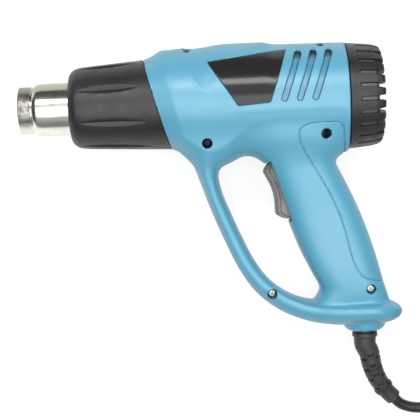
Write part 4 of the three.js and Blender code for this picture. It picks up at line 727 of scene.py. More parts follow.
def to_segments(x, y, line):
    """Distance from each point to the nearest stretch of a line, and where along the line that is."""
    a, b = line[:-1, :2], line[1:, :2]
    run = b - a
    px = x.reshape(-1, 1) - a[:, 0]
    py = y.reshape(-1, 1) - a[:, 1]
    share = np.clip((px * run[:, 0] + py * run[:, 1]) / (run**2).sum(1), 0, 1)
    away = np.hypot(px - share * run[:, 0], py - share * run[:, 1])
    near = away.argmin(1)
    rows = np.arange(len(near))
    return away[rows, near].reshape(x.shape), (near + share[rows, near]).reshape(x.shape)


def inside_outline(x, y, outline):
    """Whether each point is inside a closed outline: a ray to the right meets an odd count of its sides."""
    a, b = outline, np.roll(outline, -1, axis=0)
    px, py = x.reshape(-1, 1), y.reshape(-1, 1)
    spans = (a[:, 1] > py) != (b[:, 1] > py)
    with np.errstate(divide="ignore", invalid="ignore"):
        at = a[:, 0] + (py - a[:, 1]) / (b[:, 1] - a[:, 1]) * (b[:, 0] - a[:, 0])
    return ((spans & (px < at)).sum(1) % 2 == 1).reshape(x.shape)


def band_edge(x, y):
    """Distance from the band's outline, negative inside."""
    edge, _ = to_segments(x, y, np.vstack([BAND_OUTLINE, BAND_OUTLINE[:1]]))
    return np.where(inside_outline(x, y, BAND_OUTLINE), -edge, edge)


def band_side(x, y):
    """1 on the outer half of the band and -1 on the inner half."""
    return np.where(to_segments(x, y, BAND_OUTER)[0] < to_segments(x, y, BAND_INNER)[0], 1, -1)


def band_field(x, y, z):
    """Guard band and base flange: distance from a superellipse whose one axis is the place across the band,
    -1 at its inner edge and 1 at its outer one, and whose other is the height over the half width. Its ridge
    lies a little inside the middle, more so along the base, where the power is higher above the ridge and
    lower below it."""
    near = (y < -12) & ((y < -125) | (x < 196))
    edge = part_of(near, 90, band_edge, x, y)
    at = part_of(near, 0, lambda px, py: to_segments(px, py, BAND_MIDDLE)[1], x, y)
    half = np.interp(at, np.arange(len(BAND_HALF)), BAND_HALF)
    width = np.interp(at, np.arange(len(BAND_HALF)), BAND_MIDDLE[:, 2])
    side = part_of(near, 1, band_side, x, y)
    fade = 1 - step_up(*RIDGE_FADE, at)
    base = step_up(-112, -152, y) * fade
    ridge = STRAP_RIDGE * fade + (BASE_RIDGE - STRAP_RIDGE) * base
    across = side * np.maximum(1 + edge / half, 0) - ridge
    power = BAND_POWER + base * np.where(across < 0, BASE_ABOVE, BASE_BELOW)
    across = np.abs(across) / (1 + np.where(across > 0, -ridge, ridge))
    round_out = (across**power + np.abs(z / width) ** power) ** (1 / power)
    return (round_out - 1) * np.minimum(half, width)


boss_line = through([
    (BASE_DROP - 8, BOSS_RADIUS + 2), (BASE_DROP + 3, BOSS_RADIUS), (-BOSS_END - 5, BOSS_RADIUS - 0.5),
    (-BOSS_END - 1.8, 14), (-BOSS_END, 11.8),
])


def boss(x, y, z):
    """Cord boss: distance from a round whose radius follows the drop, ended flat."""
    return np.maximum(np.hypot(x - CORD_X, z) - boss_line(-y), np.maximum(BOSS_END - y, y + BASE_DROP - 6))


EDGE_BLEND = 1.5
GRIP_BLEND = 16
BAND_BLEND = 8
BAND_BLEND_MORE = 5
BOSS_BLEND = 1.6


def smooth_housing(x, y, z):
    """The four bodies joined: each blend is narrow at the parting plane, which keeps the outline, and wide on
    the flanks."""
    flank = step_up(1, 15, np.abs(z))
    grip_blend = EDGE_BLEND + GRIP_BLEND * flank * step_up(-4, -34, y)
    upper = (BAND_BLEND + BAND_BLEND_MORE * flank**2) * flank * step_up(-95, -40, y)
    body = smooth_min(barrel(x, y, z), grip(x, y, z), grip_blend)
    body = smooth_min(body, band_field(x, y, z), EDGE_BLEND + upper + flank)
    return smooth_min(body, boss(x, y, z), BOSS_BLEND)


# Details of the housing, as depths under the smooth surface

LABEL = np.array([(SEAM + 36.3, 28.3), (SEAM + 93, 35.3), (SEAM + 79.4, -2.2), (SEAM + 56.6, -3.7)])
LABEL_DEPTH = 1.2
SLOT_TOPS = (CAP_SEAM - 34, CAP_SEAM - 23.2, CAP_SEAM - 12.4)
SLOT_LEAN = 11.4
SLOT_TOP = 31
SLOT_BOTTOM = 0.4
SLOT_HALF_WIDTH = 2.3
SLOT_DEPTH = 1.9
SLOT_POCKET = 0.1
GRIP_LINE = rounded_line([
    (233.6, -41), (232.2, -17.4), (207.6, -17.6), (200.2, -22), (202.2, -34), (212, -49.7), (221.1, -65.9),
    (228.9, -83.4), (233.3, -100.5), (237.5, -119.8), (242.9, -129), (250, -132.6), (263, -135),
], 7)
SWEEP = spline([(122.5, 40), (125.3, 30.8), (128.9, 19.6), (134, 11.1), (139.3, 5.4), (147.2, -3.9)], 6)
GROOVE_HALF_WIDTH = 0.8
GROOVE_DEPTH = 0.6
RIDGE_HEIGHT = 0.3
RIDGE_LEVEL = -6.4
SCOOP_DROP = 0.45
SCOOP_DEPTH = 0.8
SCOOP_DEEPEST = 8
SCOOP_END = 30
COUNTERBORE_RADIUS = 3.6
TOP_WELL_RADIUS = 3.1
WELL_ROUND = 0.5
STRAP_SCREW = BAND_MIDDLE[round(0.505 * (len(BAND_MIDDLE) - 1)), :2] + [-2.4, 3]
# Screws: x, y and the height of the seat under the head
SCREWS = [
    (SEAM + 34.2, -28.6, 9), (CAP_SEAM - 16.7, -25.4, 9), (*STRAP_SCREW, 3.2),
    (float(grip_rear(0.881)) - 12, -0.881 * BASE_DROP, 10.5),
    (SEAM + 22.4, BARREL_RADIUS - 2.9, 8), (CAP_SEAM - 17, BARREL_RADIUS - 2.9, 8),
]
WELLS = [(x, y, seat, COUNTERBORE_RADIUS) for x, y, seat in SCREWS[:4]]
WELLS += [(x, BARREL_RADIUS + 0.5, seat, TOP_WELL_RADIUS) for x, _, seat in SCREWS[4:]]


def label_edge(x, y, round_by=1.1):
    """Distance from the label's outline, negative inside: the greatest of the distances from its sides, by a
    smooth maximum that rounds the corners."""
    a, b = LABEL, np.roll(LABEL, -1, axis=0)
    along = (b - a) / np.linalg.norm(b - a, axis=1)[:, None]
    edge = None
    for (ax, ay), (ux, uy) in zip(a, along):
        here = -(x - ax) * uy + (y - ay) * ux
        edge = here if edge is None else -smooth_min(-edge, -here, round_by)
    return edge


def slot_edge(x, y, top_x):
    """Distance from a cooling slot's outline, negative inside: a round-ended bar from top to bottom."""
    top = np.array([top_x, SLOT_TOP])
    run = np.array([-SLOT_LEAN, SLOT_BOTTOM - SLOT_TOP])
    share = np.clip(((x - top[0]) * run[0] + (y - top[1]) * run[1]) / (run @ run), 0, 1)
    return np.hypot(x - top[0] - share * run[0], y - top[1] - share * run[1]) - SLOT_HALF_WIDTH


def groove_away(x, y):
    """Distance from the line round the rear of the grip, or 9 far from it."""
    return part_of((x > 196) & (y < -10), 9, lambda px, py: to_segments(px, py, GRIP_LINE)[0], x, y)


def scoop_depth(x, y):
    """Depth of the scoop behind the sweep: it drops a little at the line, falls away behind it as a sine,
    and fades out further behind and along it."""
    away, at = to_segments(x, y, SWEEP)
    line_x = np.interp(y, SWEEP[::-1, 1], SWEEP[::-1, 0])
    behind = np.where(x > line_x, away, -away)
    fade = 1 - step_up(0.55, 1, at / (len(SWEEP) - 1))
    fall = SCOOP_DEPTH * np.sin(np.pi / 2 * np.clip(behind / SCOOP_DEEPEST, 0, 1))
    drop = SCOOP_DROP * step_up(-0.45, 0.45, behind)
    return (drop + fall) * (1 - step_up(SCOOP_DEEPEST, SCOOP_END, behind)) * fade


def depth_of(x, y):
    """How far the finished surface lies under the smooth one, seen from the side: label recess, slots that
    end in a deeper pocket at the top, the line round the rear of the grip, the scoop behind the sweep,
    and a low ridge under label and slots, exp(-y^2) across."""
    x, y = np.broadcast_arrays(x, y)
    depth = LABEL_DEPTH * (1 - step_up(-0.45, 0.05, label_edge(x, y)))
    slot_depth = SLOT_DEPTH + SLOT_POCKET * step_up(SLOT_TOP - 5, SLOT_TOP - 0.5, y)
    for top_x in SLOT_TOPS:
        depth = np.maximum(depth, slot_depth * (1 - step_up(-0.5, 0.05, slot_edge(x, y, top_x))))
    depth = np.maximum(depth, GROOVE_DEPTH * (1 - step_up(0, GROOVE_HALF_WIDTH, groove_away(x, y))))
    along = step_up(SEAM + 44, SEAM + 62, x) * (1 - step_up(CAP_SEAM - 9, CAP_SEAM - 1, x))
    depth = depth - RIDGE_HEIGHT * along * np.exp(-((y - RIDGE_LEVEL) / 2.2) ** 2)
    return depth + part_of((x < 175) & (y > -8), 0, scoop_depth, x, y)


def housing(x, y, z, holes=True):
    """The finished surface: the smooth one sunk by the details' depth, less the screw wells and the rocker's
    opening."""
    field = smooth_housing(x, y, z) + depth_of(x, y)
    if holes:
        for hole_x, hole_y, seat, radius in WELLS:
            well = np.maximum(np.hypot(x - hole_x, y - hole_y) - radius, seat - z)
            field = -smooth_min(-field, well, WELL_ROUND)
    return np.maximum(field, -rocker_opening(x, y, z))


# Rocker switch's place: u runs down the grip's front, v points out of it
ROCKER_DROP = 66.5
ROCKER_SETBACK = 6
ROCKER_HALF_LENGTH = 22.5
ROCKER_HALF_WIDTH = 9
ROCKER_TILT = math.radians(6.4)
ROCKER_POCKET = 3
ROCKER_REACH = 14
SHELF = 3.2
SHELF_RISE = 0.05
GRIP_LEAN = math.atan2(float(grip_front(0.56) - grip_front(0.3)), 0.26 * BASE_DROP)
PIVOT = np.array([
    float(grip_front(ROCKER_DROP / BASE_DROP)) + ROCKER_SETBACK * math.cos(GRIP_LEAN),
    -ROCKER_DROP + ROCKER_SETBACK * math.sin(GRIP_LEAN),
])


def pivot_frame(x, y):
    """u and v of points: u down the grip's front from the pivot, v out of it."""
    dx, dy = x - PIVOT[0], y - PIVOT[1]
    u = dx * math.sin(GRIP_LEAN) - dy * math.cos(GRIP_LEAN)
    v = -dx * math.cos(GRIP_LEAN) - dy * math.sin(GRIP_LEAN)
    return u, v


def rocker_opening(x, y, z):
    """Distance from the box that the rocker moves in and the shelf cut across the grip's front beside it,
    negative inside."""
    u, v = pivot_frame(x, y)
    ahead = v - ROCKER_REACH
    side = np.maximum(np.abs(u) - ROCKER_HALF_LENGTH - 1, np.maximum(-ROCKER_POCKET - v, ahead))
    box = np.maximum(side, np.abs(z) - ROCKER_HALF_WIDTH - 0.5)
    floor_edge = np.maximum(SHELF + SHELF_RISE * u - v, ahead)
    shelf = np.maximum(np.abs(u) - ROCKER_HALF_LENGTH - 0.4, floor_edge)
    return np.minimum(box, shelf)


def surface_net(field, low, high, cell):
    """The surface where a field is zero: a point in each cell that it crosses, at the mean of its
    crossings of the cell's edges, and a quad across each crossed edge of the grid."""
    axes = [np.arange(a, b + cell, cell) for a, b in zip(low, high)]
    value = field(axes[0][:, None, None], axes[1][None, :, None], axes[2][None, None, :])
    cells = np.array(value.shape) - 1
    total = np.zeros((cells.prod(), 3))
    count = np.zeros(cells.prod())
    quads = []
    for axis in range(3):
        near = np.take(value, range(value.shape[axis] - 1), axis)
        far = np.take(value, range(1, value.shape[axis]), axis)
        at = np.argwhere((near < 0) != (far < 0))
        a, b = near[tuple(at.T)], far[tuple(at.T)]
        crossing = at.astype(float)
        crossing[:, axis] += a / (a - b)
        other = [k for k in range(3) if k != axis]
        corners = []
        for i, j in ((-1, -1), (0, -1), (0, 0), (-1, 0)):
            corner = at.copy()
            corner[:, other[0]] += i
            corner[:, other[1]] += j
            corners.append(corner)
        corners = np.stack(corners, 1)
        whole = ((corners >= 0) & (corners < cells)).all((1, 2))
        kept = np.moveaxis(corners, -1, 0).clip(0, (cells - 1)[:, None, None])
        number = np.ravel_multi_index(tuple(kept), cells)
        for k in range(4):
            fits = ((corners[:, k] >= 0) & (corners[:, k] < cells)).all(1)
            for c in range(3):
                total[:, c] += np.bincount(number[fits, k], crossing[fits, c], len(total))
            count += np.bincount(number[fits, k], minlength=len(count))
        turn = (a < 0) != (axis == 1)
        quads.append(np.where(turn[:, None], number, number[:, ::-1])[whole])
    quads = np.vstack(quads)
    used, quads = np.unique(quads, return_inverse=True)
    points = total[used] / count[used, None] * cell + [a[0] for a in axes]
    return points, quads.reshape(-1, 4)


MOST_MOVE = 0.6


def settle(points, field, times):
    """Points moved to the field's zero: each step is the value over the squared slope, along the slope, and
    no longer than the most that a point may move."""
    step = 0.03
    for _ in range(times):
        x, y, z = points.T
        value = field(x, y, z)
        slope = np.stack([field(x + step, y, z), field(x, y + step, z), field(x, y, z + step)], 1)
        slope = (slope - value[:, None]) / step
        move = slope * (value / np.maximum((slope**2).sum(1), 0.15))[:, None]
        far = np.linalg.norm(move, axis=1)[:, None]
        points = points - move * np.minimum(1, MOST_MOVE / np.maximum(far, 1e-9))
    return points


DETAIL_REACH = 1.25


def detail_near(x, y, z):
    """Whether a point is near an edge that needs a finer mesh."""
    away = np.abs(label_edge(x, y))
    for top_x in SLOT_TOPS:
        away = np.minimum(away, np.abs(slot_edge(x, y, top_x)))
    away = np.minimum(away, groove_away(x, y))
    for hole_x, hole_y, _, radius in WELLS:
        away = np.minimum(away, np.abs(np.hypot(x - hole_x, y - hole_y) - radius) + 0.2)
    away = np.minimum(away, np.abs(station(x, y) - KNEE + 0.4 * step_up(0, 30, y)) + 0.3)
    away = np.minimum(away, np.abs(rocker_opening(x, y, z)) + 0.3)
    return away < DETAIL_REACH


HOUSING_CELL = 1.5
HOUSING_LOW = (94, -176, -2)
HOUSING_HIGH = (276, 44, 41)
SHELL_WALL = 1.3
WELL_RIM = 2.4
CAP_CUT_LOW = -57


def net_of(name, field):
    """A mesh on the net of a field, with the faces near the details' edges cut in three each way, settled
    on the field again."""
    points, quads = surface_net(field, HOUSING_LOW, HOUSING_HIGH, HOUSING_CELL)
    points = settle(points, field, 2)
    mesh = bpy.data.meshes.new(name)
    mesh.from_pydata(points.tolist(), [], quads.tolist())
    made = bmesh.new()
    made.from_mesh(mesh)
    made.faces.ensure_lookup_table()
    middle = points[quads].mean(1)
    fine = np.flatnonzero(detail_near(*middle.T) & (middle[:, 2] > 0))
    edges = dict.fromkeys(edge for i in fine for edge in made.faces[i].edges)
    bmesh.ops.subdivide_edges(made, edges=list(edges), cuts=2, use_grid_fill=True)
    bmesh.ops.triangulate(made, faces=[face for face in made.faces if len(face.verts) > 4])
    made.to_mesh(mesh)
    made.free()
    mesh.vertices.foreach_set("co", settle(points_of(mesh), field, 2).ravel())
    return mesh


def cut_half(mesh):
    """Cuts a mesh at the parting plane and at both seams. The cap's seam cuts only what lies above a
    level, so that the grip keeps its rear."""
    planes = [
        ((0, 0, PARTING_GAP), (0, 0, -1), -math.inf),
        ((SEAM, 0, 0), (-math.cos(SEAM_TILT), -math.sin(SEAM_TILT), 0), -math.inf),
        ((CAP_SEAM, 0, 0), (1, 0, 0), CAP_CUT_LOW),
    ]
    made = bmesh.new()
    made.from_mesh(mesh)
    for spot, out, lowest in planes:
        faces = [face for face in made.faces if face.calc_center_median().y > lowest]
        parts = dict.fromkeys(part for face in faces for part in (*face.verts, *face.edges))
        bmesh.ops.bisect_plane(made, geom=list(parts) + faces, plane_co=spot, plane_no=out)
        gone = []
        for face in made.faces:
            middle = face.calc_center_median()
            if middle.y > lowest and (middle - Vector(spot)).dot(Vector(out)) > 1e-4:
                gone.append(face)
        bmesh.ops.delete(made, geom=gone, context="FACES")
    bmesh.ops.delete(made, geom=[v for v in made.verts if not v.link_faces], context="VERTS")
    made.to_mesh(mesh)
    made.free()


def housing_half(name, side):
    """One half of the housing, with painted shade in its hollows and without its wall: the net of the
    field, cut and, on the right side, mirrored. Also gives the points near the screw wells, where the wall
    is thinner."""
    mesh = net_of(name, lambda x, y, z: housing(x, y, z, holes=side > 0))
    cut_half(mesh)
    points = points_of(mesh)
    # Painted shade for the groove, the slots and, on the left half, the screw wells
    hollow = hollow_of(points, WELLS if side > 0 else [])
    to_well = np.min([np.hypot(points[:, 0] - x, points[:, 1] - y) - radius for x, y, _, radius in WELLS], 0)
    mesh.vertices.foreach_set("co", placed(points * [1, 1, side]).astype(np.float32).ravel())
    if side < 0:
        mesh.flip_normals()
    mark(mesh, "hollow", hollow)
    mesh.update()
    return mesh, np.flatnonzero(to_well < WELL_RIM).tolist()


# Shares of painted shade: grip groove, slot walls, slot floors, slot upper pockets, screw wells
GROOVE_SHADE = 0.36
SLOT_WALL_SHADE = 0.55
SLOT_FLOOR_SHADE = 0.32
SLOT_POCKET_SHADE = 0.95
WELL_SHADE = 0.5


def hollow_of(points, wells):
    """How much painted shade a point gets, 0 to 1, in a groove, a slot or a screw's well: most in
    the slots' upper pockets, less along their walls and on their floors."""
    x, y, z = points.T
    hollow = GROOVE_SHADE * (1 - step_up(0.1, 0.8, groove_away(x, y)))
    for top_x in SLOT_TOPS:
        edge = slot_edge(x, y, top_x)
        wall = SLOT_WALL_SHADE * (1 - step_up(0.1, 0.7, np.abs(edge + 0.35)))
        ground = SLOT_FLOOR_SHADE * (1 - step_up(-0.8, -0.2, edge))
        pocket = SLOT_POCKET_SHADE * step_up(SLOT_TOP - 5, SLOT_TOP - 2, y) * (1 - step_up(0.1, 0.7, edge))
        hollow = np.maximum.reduce([hollow, wall, ground, pocket])
    for hole_x, hole_y, seat, radius in wells:
        well = step_up(0.2, -0.1, np.hypot(x - hole_x, y - hole_y) - radius) * (z > seat - 1)
        hollow = np.maximum(hollow, WELL_SHADE * well)
    return np.clip(hollow, 0, 1)


for half_name, half_side, stands_for in (("housing_shell_left", 1, "housing_left"),
                                         ("housing_shell_right", -1, "housing_right")):
    half_mesh, thin_points = housing_half(half_name, half_side)
    half = piece(half_mesh, "tool", HOUSING, (stands_for,), 40)
    half.vertex_groups.new(name="thin").add(thin_points, 1, "REPLACE")
    modifier(half, "SOLIDIFY", thickness=SHELL_WALL / 1000, offset=-1, vertex_group="thin",
             invert_vertex_group=True, thickness_vertex_group=0.2)


# Front collar

COLLAR_LENGTH = SEAM - COLLAR_START
COLLAR_WALL = 3
COLLAR_GAP = 0.35
COLLAR_NOSE = 14
FLUTES = 8
FLUTE_MIDDLE = 30.5
FLUTE_HALF_LENGTH = 23
FLUTE_HALF_WIDTH = 3
FLUTE_DEPTH = 2.1
FLUTE_PHASE = math.radians(1.8)
collar_radius = through([
    (0, COLLAR_FRONT_RADIUS - 7), (0.6, COLLAR_FRONT_RADIUS - 4.9), (2.3, COLLAR_FRONT_RADIUS - 2.8),
    (5, COLLAR_FRONT_RADIUS - 1.2), (9, COLLAR_FRONT_RADIUS - 0.3),
    (COLLAR_NOSE, COLLAR_FRONT_RADIUS + 0.2), (COLLAR_LENGTH, SEAM_RADIUS - 0.1),
])


def flute_depth(s, radius, turn):
    """Depth of the flutes: each is a lens whose half width falls to nothing at its ends as 1 - along^2, and
    whose two walls meet in a V."""
    along = np.clip(1 - ((s - FLUTE_MIDDLE) / FLUTE_HALF_LENGTH) ** 2, 1e-6, 1)
    step = 2 * np.pi / FLUTES
    across = radius * (np.mod(turn - FLUTE_PHASE, step) - step / 2) / (FLUTE_HALF_WIDTH * along)
    return FLUTE_DEPTH * along * np.maximum(1 - np.abs(across), 0)


def collar():
    """Collar: rows run along the outside, round the spigot and back along the bore, columns go round. The
    outer radius is sunk by the flutes, and each ring leans by a share of the seam's tilt."""
    turn = np.linspace(0, 2 * np.pi, 400, endpoint=False)
    front = COLLAR_NOSE * np.linspace(0, 1, 26) ** 2
    end = COLLAR_LENGTH - COLLAR_GAP
    rest = np.arange(COLLAR_NOSE + 0.9, COLLAR_LENGTH - 1, 0.9)
    outer = np.concatenate([front, rest, [end - 0.5, end - 0.1]])
    bore = [
        (end, SEAM_RADIUS - 0.5), (end, SEAM_RADIUS - WALL - 0.4),
        (COLLAR_LENGTH + 5, SEAM_RADIUS - WALL - 0.4), (COLLAR_LENGTH + 5, SEAM_RADIUS - WALL - 2.6),
        (COLLAR_LENGTH - 3.3, SEAM_RADIUS - WALL - 2.6), (15, COLLAR_FRONT_RADIUS - COLLAR_WALL),
        (5, COLLAR_FRONT_RADIUS - COLLAR_WALL - 2), (4, TUBE_RADIUS + 0.6), (0.5, TUBE_RADIUS + 0.6),
        (0, TUBE_RADIUS + 1.1),
    ]
    s = np.concatenate([outer, [x for x, _ in bore]])[:, None]
    radius = np.concatenate([collar_radius(outer), [r for _, r in bore]])[:, None] + 0 * turn
    radius[:len(outer)] -= flute_depth(s[:len(outer)], radius[:len(outer)], turn)
    share = np.clip((s - 15) / (COLLAR_LENGTH - 15), 0, 1)
    y = radius * np.sin(turn)
    x = COLLAR_START + s - y * np.tan(SEAM_TILT * share)
    return surface("front_grip_collar", placed(np.stack([x, y, radius * np.cos(turn)], -1)), closed_rows=True)


piece(collar(), "tool", DARK, ("front_collar",), 30)


# Outlet tube

TIP_START = 3
TUBE_SEAT = 125
TUBE_FLANGE = 4


def outlet():
    """Outlet: a rolled tip ring, a groove, a shoulder and the long tube, turned round the axis with the
    bore."""
    outside = rounded_line([
        (TIP_START + 1.8, TIP_RADIUS - 2.3), (TIP_START, TIP_RADIUS - 1.7), (TIP_START, TIP_RADIUS),
        (TIP_LENGTH, TIP_RADIUS), (TIP_LENGTH + 0.4, TIP_RADIUS - 0.9), (TIP_LENGTH + 1.3, TIP_RADIUS - 0.9),
        (TIP_LENGTH + 1.9, TIP_RADIUS + 0.2),
        (TIP_LENGTH + 4.4, TUBE_RADIUS - 0.4), (TIP_LENGTH + 8, TUBE_RADIUS), (TUBE_SEAT, TUBE_RADIUS),
    ], 0.9, 6)
    inside = [
        (TUBE_SEAT, TUBE_RADIUS + TUBE_FLANGE), (TUBE_SEAT + 1.5, TUBE_RADIUS + TUBE_FLANGE),
        (TUBE_SEAT + 1.5, TUBE_RADIUS - 1), (TIP_LENGTH + 8, TUBE_RADIUS - 1),
        (TIP_LENGTH + 3, TIP_RADIUS - 1.8), (TIP_START + 3, TIP_RADIUS - 1.8),
    ]
    profile = np.vstack([outside, inside])
    turn = np.linspace(0, 2 * np.pi, 128, endpoint=False)
    x, radius = profile[:, :1], profile[:, 1:]
    y, z = radius * np.sin(turn), radius * np.cos(turn)
    return surface("outlet_nozzle", placed(np.stack([x + 0 * y, y, z], -1)), closed_rows=True)


piece(outlet(), "tool", OUTLET, ("outlet_tube",), 32)


# Rear cap and its intake grille

CAP_RADIUS = BARREL_RADIUS - 0.2
CAP_GAP = 0.3
CAP_GROOVES = 24
CAP_GROOVE_HALF_WIDTH = 1.5
CAP_GROOVE_DEPTH = 1.3
# Share of paler tone on the grooves' floors
CAP_GROOVE_FLOOR_PALE = 0.75
# Share of painted shade along the grooves' rims
CAP_GROOVE_SHADE = 0.8
CAP_GROOVE_START = CAP_SEAM + 7.4
CAP_NOTCH_HALF_WIDTH = 1.7
CAP_NOTCH_FLOOR = 2
CAP_DISC = REAR_END - 6.8
CAP_RIM = CAP_RADIUS - 7.4
CAP_SKIRT = BARREL_RADIUS - WALL - 0.6
CAP_PHASE = math.radians(3.7)
GRILLE_SLOTS = 12
GRILLE_SLOT_HALF_WIDTH = 1.5
GRILLE_THICKNESS = 2.4


def cap():
    """Cap: rows run over the skirt, along the outside, over the rim and back inside, columns go round. The
    outside is sunk by the grooves, round-ended bars, and in a notch each rim point falls back to the notch's
    floor."""
    half = np.array([0.8, 1.2, 1.38, 1.54, 1.7, 1.9, 2.3, 3.1, 3.9])
    step = 2 * np.pi / CAP_GROOVES
    middle = CAP_RADIUS - 1
    across = np.concatenate([-half[::-1], [0], half, [step * middle / 2]])
    turn = (np.arange(CAP_GROOVES)[:, None] * step + across / middle).ravel()
    across = np.abs(np.tile(across, CAP_GROOVES))
    outside = rounded_line([
        (CAP_SEAM + CAP_GAP, CAP_RADIUS - 1.2), (CAP_SEAM + CAP_GAP + 0.7, CAP_RADIUS),
        (CAP_DISC, CAP_RADIUS - 1.7), (REAR_END - 2.2, CAP_RADIUS - 2.9), (REAR_END, CAP_RADIUS - 4.2),
        (REAR_END, CAP_RIM - 2.4),
        (CAP_DISC + 1.6, CAP_RIM - 2.4), (CAP_DISC + 0.3, CAP_RIM),
    ], 1.2, 5)
    run = lengths(outside)
    outside = even(outside, np.union1d(np.arange(0, run[-1], 0.42), run))
    profile = np.vstack([
        [(CAP_SEAM - 5.5, CAP_SKIRT), (CAP_SEAM + CAP_GAP, CAP_SKIRT)], outside,
        [(CAP_DISC - GRILLE_THICKNESS, CAP_RIM), (CAP_DISC - GRILLE_THICKNESS, CAP_RADIUS - 4.4),
         (CAP_SEAM + 3, CAP_RADIUS - 3.6), (CAP_SEAM + 1, CAP_SKIRT - 2.3),
         (CAP_SEAM - 5.5, CAP_SKIRT - 2.3)],
    ])
    x, radius = profile[:, :1], profile[:, 1:]
    ahead = np.minimum(x - CAP_GROOVE_START - CAP_GROOVE_HALF_WIDTH, 0)
    groove_edge = np.hypot(ahead, across) - CAP_GROOVE_HALF_WIDTH
    outer_wall = radius > CAP_RIM + 2
    sunk = CAP_GROOVE_DEPTH * (1 - step_up(-0.3, 0.12, groove_edge)) * outer_wall
    rise = np.maximum(x - CAP_DISC - CAP_NOTCH_FLOOR, 0)
    notch = 1 - step_up(CAP_NOTCH_HALF_WIDTH - 0.2, CAP_NOTCH_HALF_WIDTH + 0.1 + 0.12 * rise, across)
    x = x - notch * rise
    radius = radius - sunk
    y, z = radius * np.sin(turn - CAP_PHASE), radius * np.cos(turn - CAP_PHASE)
    outer_wall = radius > CAP_RIM + 2
    # The grooves' floors are paler
    polish = CAP_GROOVE_FLOOR_PALE * (1 - step_up(-0.62, -0.5, groove_edge)) * outer_wall * (x < CAP_DISC)
    # Painted shade along the grooves' rims
    hollow = CAP_GROOVE_SHADE * (1 - step_up(0.1, 0.34, np.abs(groove_edge + 0.12))) * outer_wall
    points = placed(np.stack([x + 0 * y, y, z], -1))
    return marked("rear_cap_shell", points, True, hollow=hollow, polish=polish + 0 * y)


def grille():
    """Grille: a disc of rings and spokes. The columns beside each slot stay at its half width from its middle
    line at every radius, and the faces between them are left out."""
    step = 2 * np.pi / GRILLE_SLOTS
    rings = np.array([CAP_RIM + 0.3, 29.4, 27.8, 24.4, 21, 17.6, 14.2, 11, 9.4, 6.6, 3, 0])
    side = np.arcsin(np.minimum(GRILLE_SLOT_HALF_WIDTH / np.maximum(rings, 6), 1))[:, None]
    share = np.array([-1, -0.45, 0.45, 1])
    plain = np.linspace(0, 1, 7)[1:-1]
    within = np.hstack([side * share, side + (step - 2 * side) * plain])
    turn = (np.arange(GRILLE_SLOTS)[None, :, None] * step + within[:, None, :]).reshape(len(rings), -1)
    turn = turn + CAP_PHASE + math.radians(0.1)
    y, z = rings[:, None] * np.sin(turn), rings[:, None] * np.cos(turn)
    points = placed(np.stack([CAP_DISC + 0 * y, y, z], -1))
    faces = grid_faces(*points.shape[:2], False, True)
    row, column = np.divmod(np.arange(len(faces)), points.shape[1])
    slot = (row >= 2) & (row < 7) & (column % within.shape[1] < 3)
    return mesh_of("rear_cap_grille", points.reshape(-1, 3), faces[~slot])


piece(cap(), "tool", DARK, ("rear_cap",), 30)
screen = piece(grille(), "tool", DARK, ("rear_cap",), 30)
modifier(screen, "SOLIDIFY", thickness=GRILLE_THICKNESS / 1000, offset=-1)
modifier(screen, "BEVEL", width=0.0003, segments=2, limit_method="ANGLE", angle_limit=math.radians(40))


# Label plates

LABEL_SINK = 0.3
LABEL_BACK = LABEL_DEPTH - 0.15
LABEL_MARGIN = 0.28
LABEL_MIDDLE = LABEL.mean(0)


def label_reach(turn, margin):
    """How far from the label's middle its outline lies in each direction, less a margin: found by halving."""
    low, high = np.zeros(len(turn)), np.full(len(turn), 60.0)
    for _ in range(30):
        middle = (low + high) / 2
        edge = label_edge(LABEL_MIDDLE[0] + middle * np.cos(turn), LABEL_MIDDLE[1] + middle * np.sin(turn))
        inside = edge < -margin
        low, high = np.where(inside, middle, low), np.where(inside, high, middle)
    return low


def on_barrel(x, y, sink):
    """Height of the smooth housing over a side view's point, less a depth, found by Newton steps up."""
    z = np.full(x.shape, BARREL_RADIUS * 0.8)
    for _ in range(12):
        value = smooth_housing(x, y, z) + sink
        slope = (smooth_housing(x, y, z + 0.05) + sink - value) / 0.05
        z = z - value / np.maximum(slope, 0.2)
    return z


def label(name, side):
    """Label: rings from the middle out to the rounded outline, over a rolled edge and back to the middle
    behind, each sunk under the smooth housing by its own depth."""
    turn = np.linspace(0, 2 * np.pi, 240, endpoint=False)
    reach = label_reach(turn, LABEL_MARGIN)
    face, edge, back = np.linspace(0, 0.97, 22), [0.985, 0.994, 1, 1], np.linspace(0.75, 0, 4)
    rolled = [LABEL_SINK + 0.01, LABEL_SINK + 0.05, LABEL_SINK + 0.16, LABEL_BACK]
    out = np.concatenate([face, edge, back])[:, None]
    sink = np.concatenate([np.full(len(face), LABEL_SINK), rolled, np.full(len(back), LABEL_BACK)])[:, None]
    x = LABEL_MIDDLE[0] + out * reach * np.cos(turn)
    y = LABEL_MIDDLE[1] + out * reach * np.sin(turn)
    z = on_barrel(x, y, sink) * side
    return surface(name, placed(np.stack([x, y, z], -1)))


piece(label("label_plate_left", 1), "tool", LABEL_FILM, ("label_left",), 50)
piece(label("label_plate_right", -1), "tool", LABEL_FILM, ("label_right",), 50)


# Housing screws

SCREW_HEAD_RADIUS = 2.7
SCREW_HEAD_HEIGHT = 2.3
SCREW_SHANK_RADIUS = 1.5
SCREW_LENGTH = 16
SCREW_LIFT = 0.3
SCREW_DOME = 0.3
SCREW_ROUND = 0.6
SCREW_RECESS = 0.9


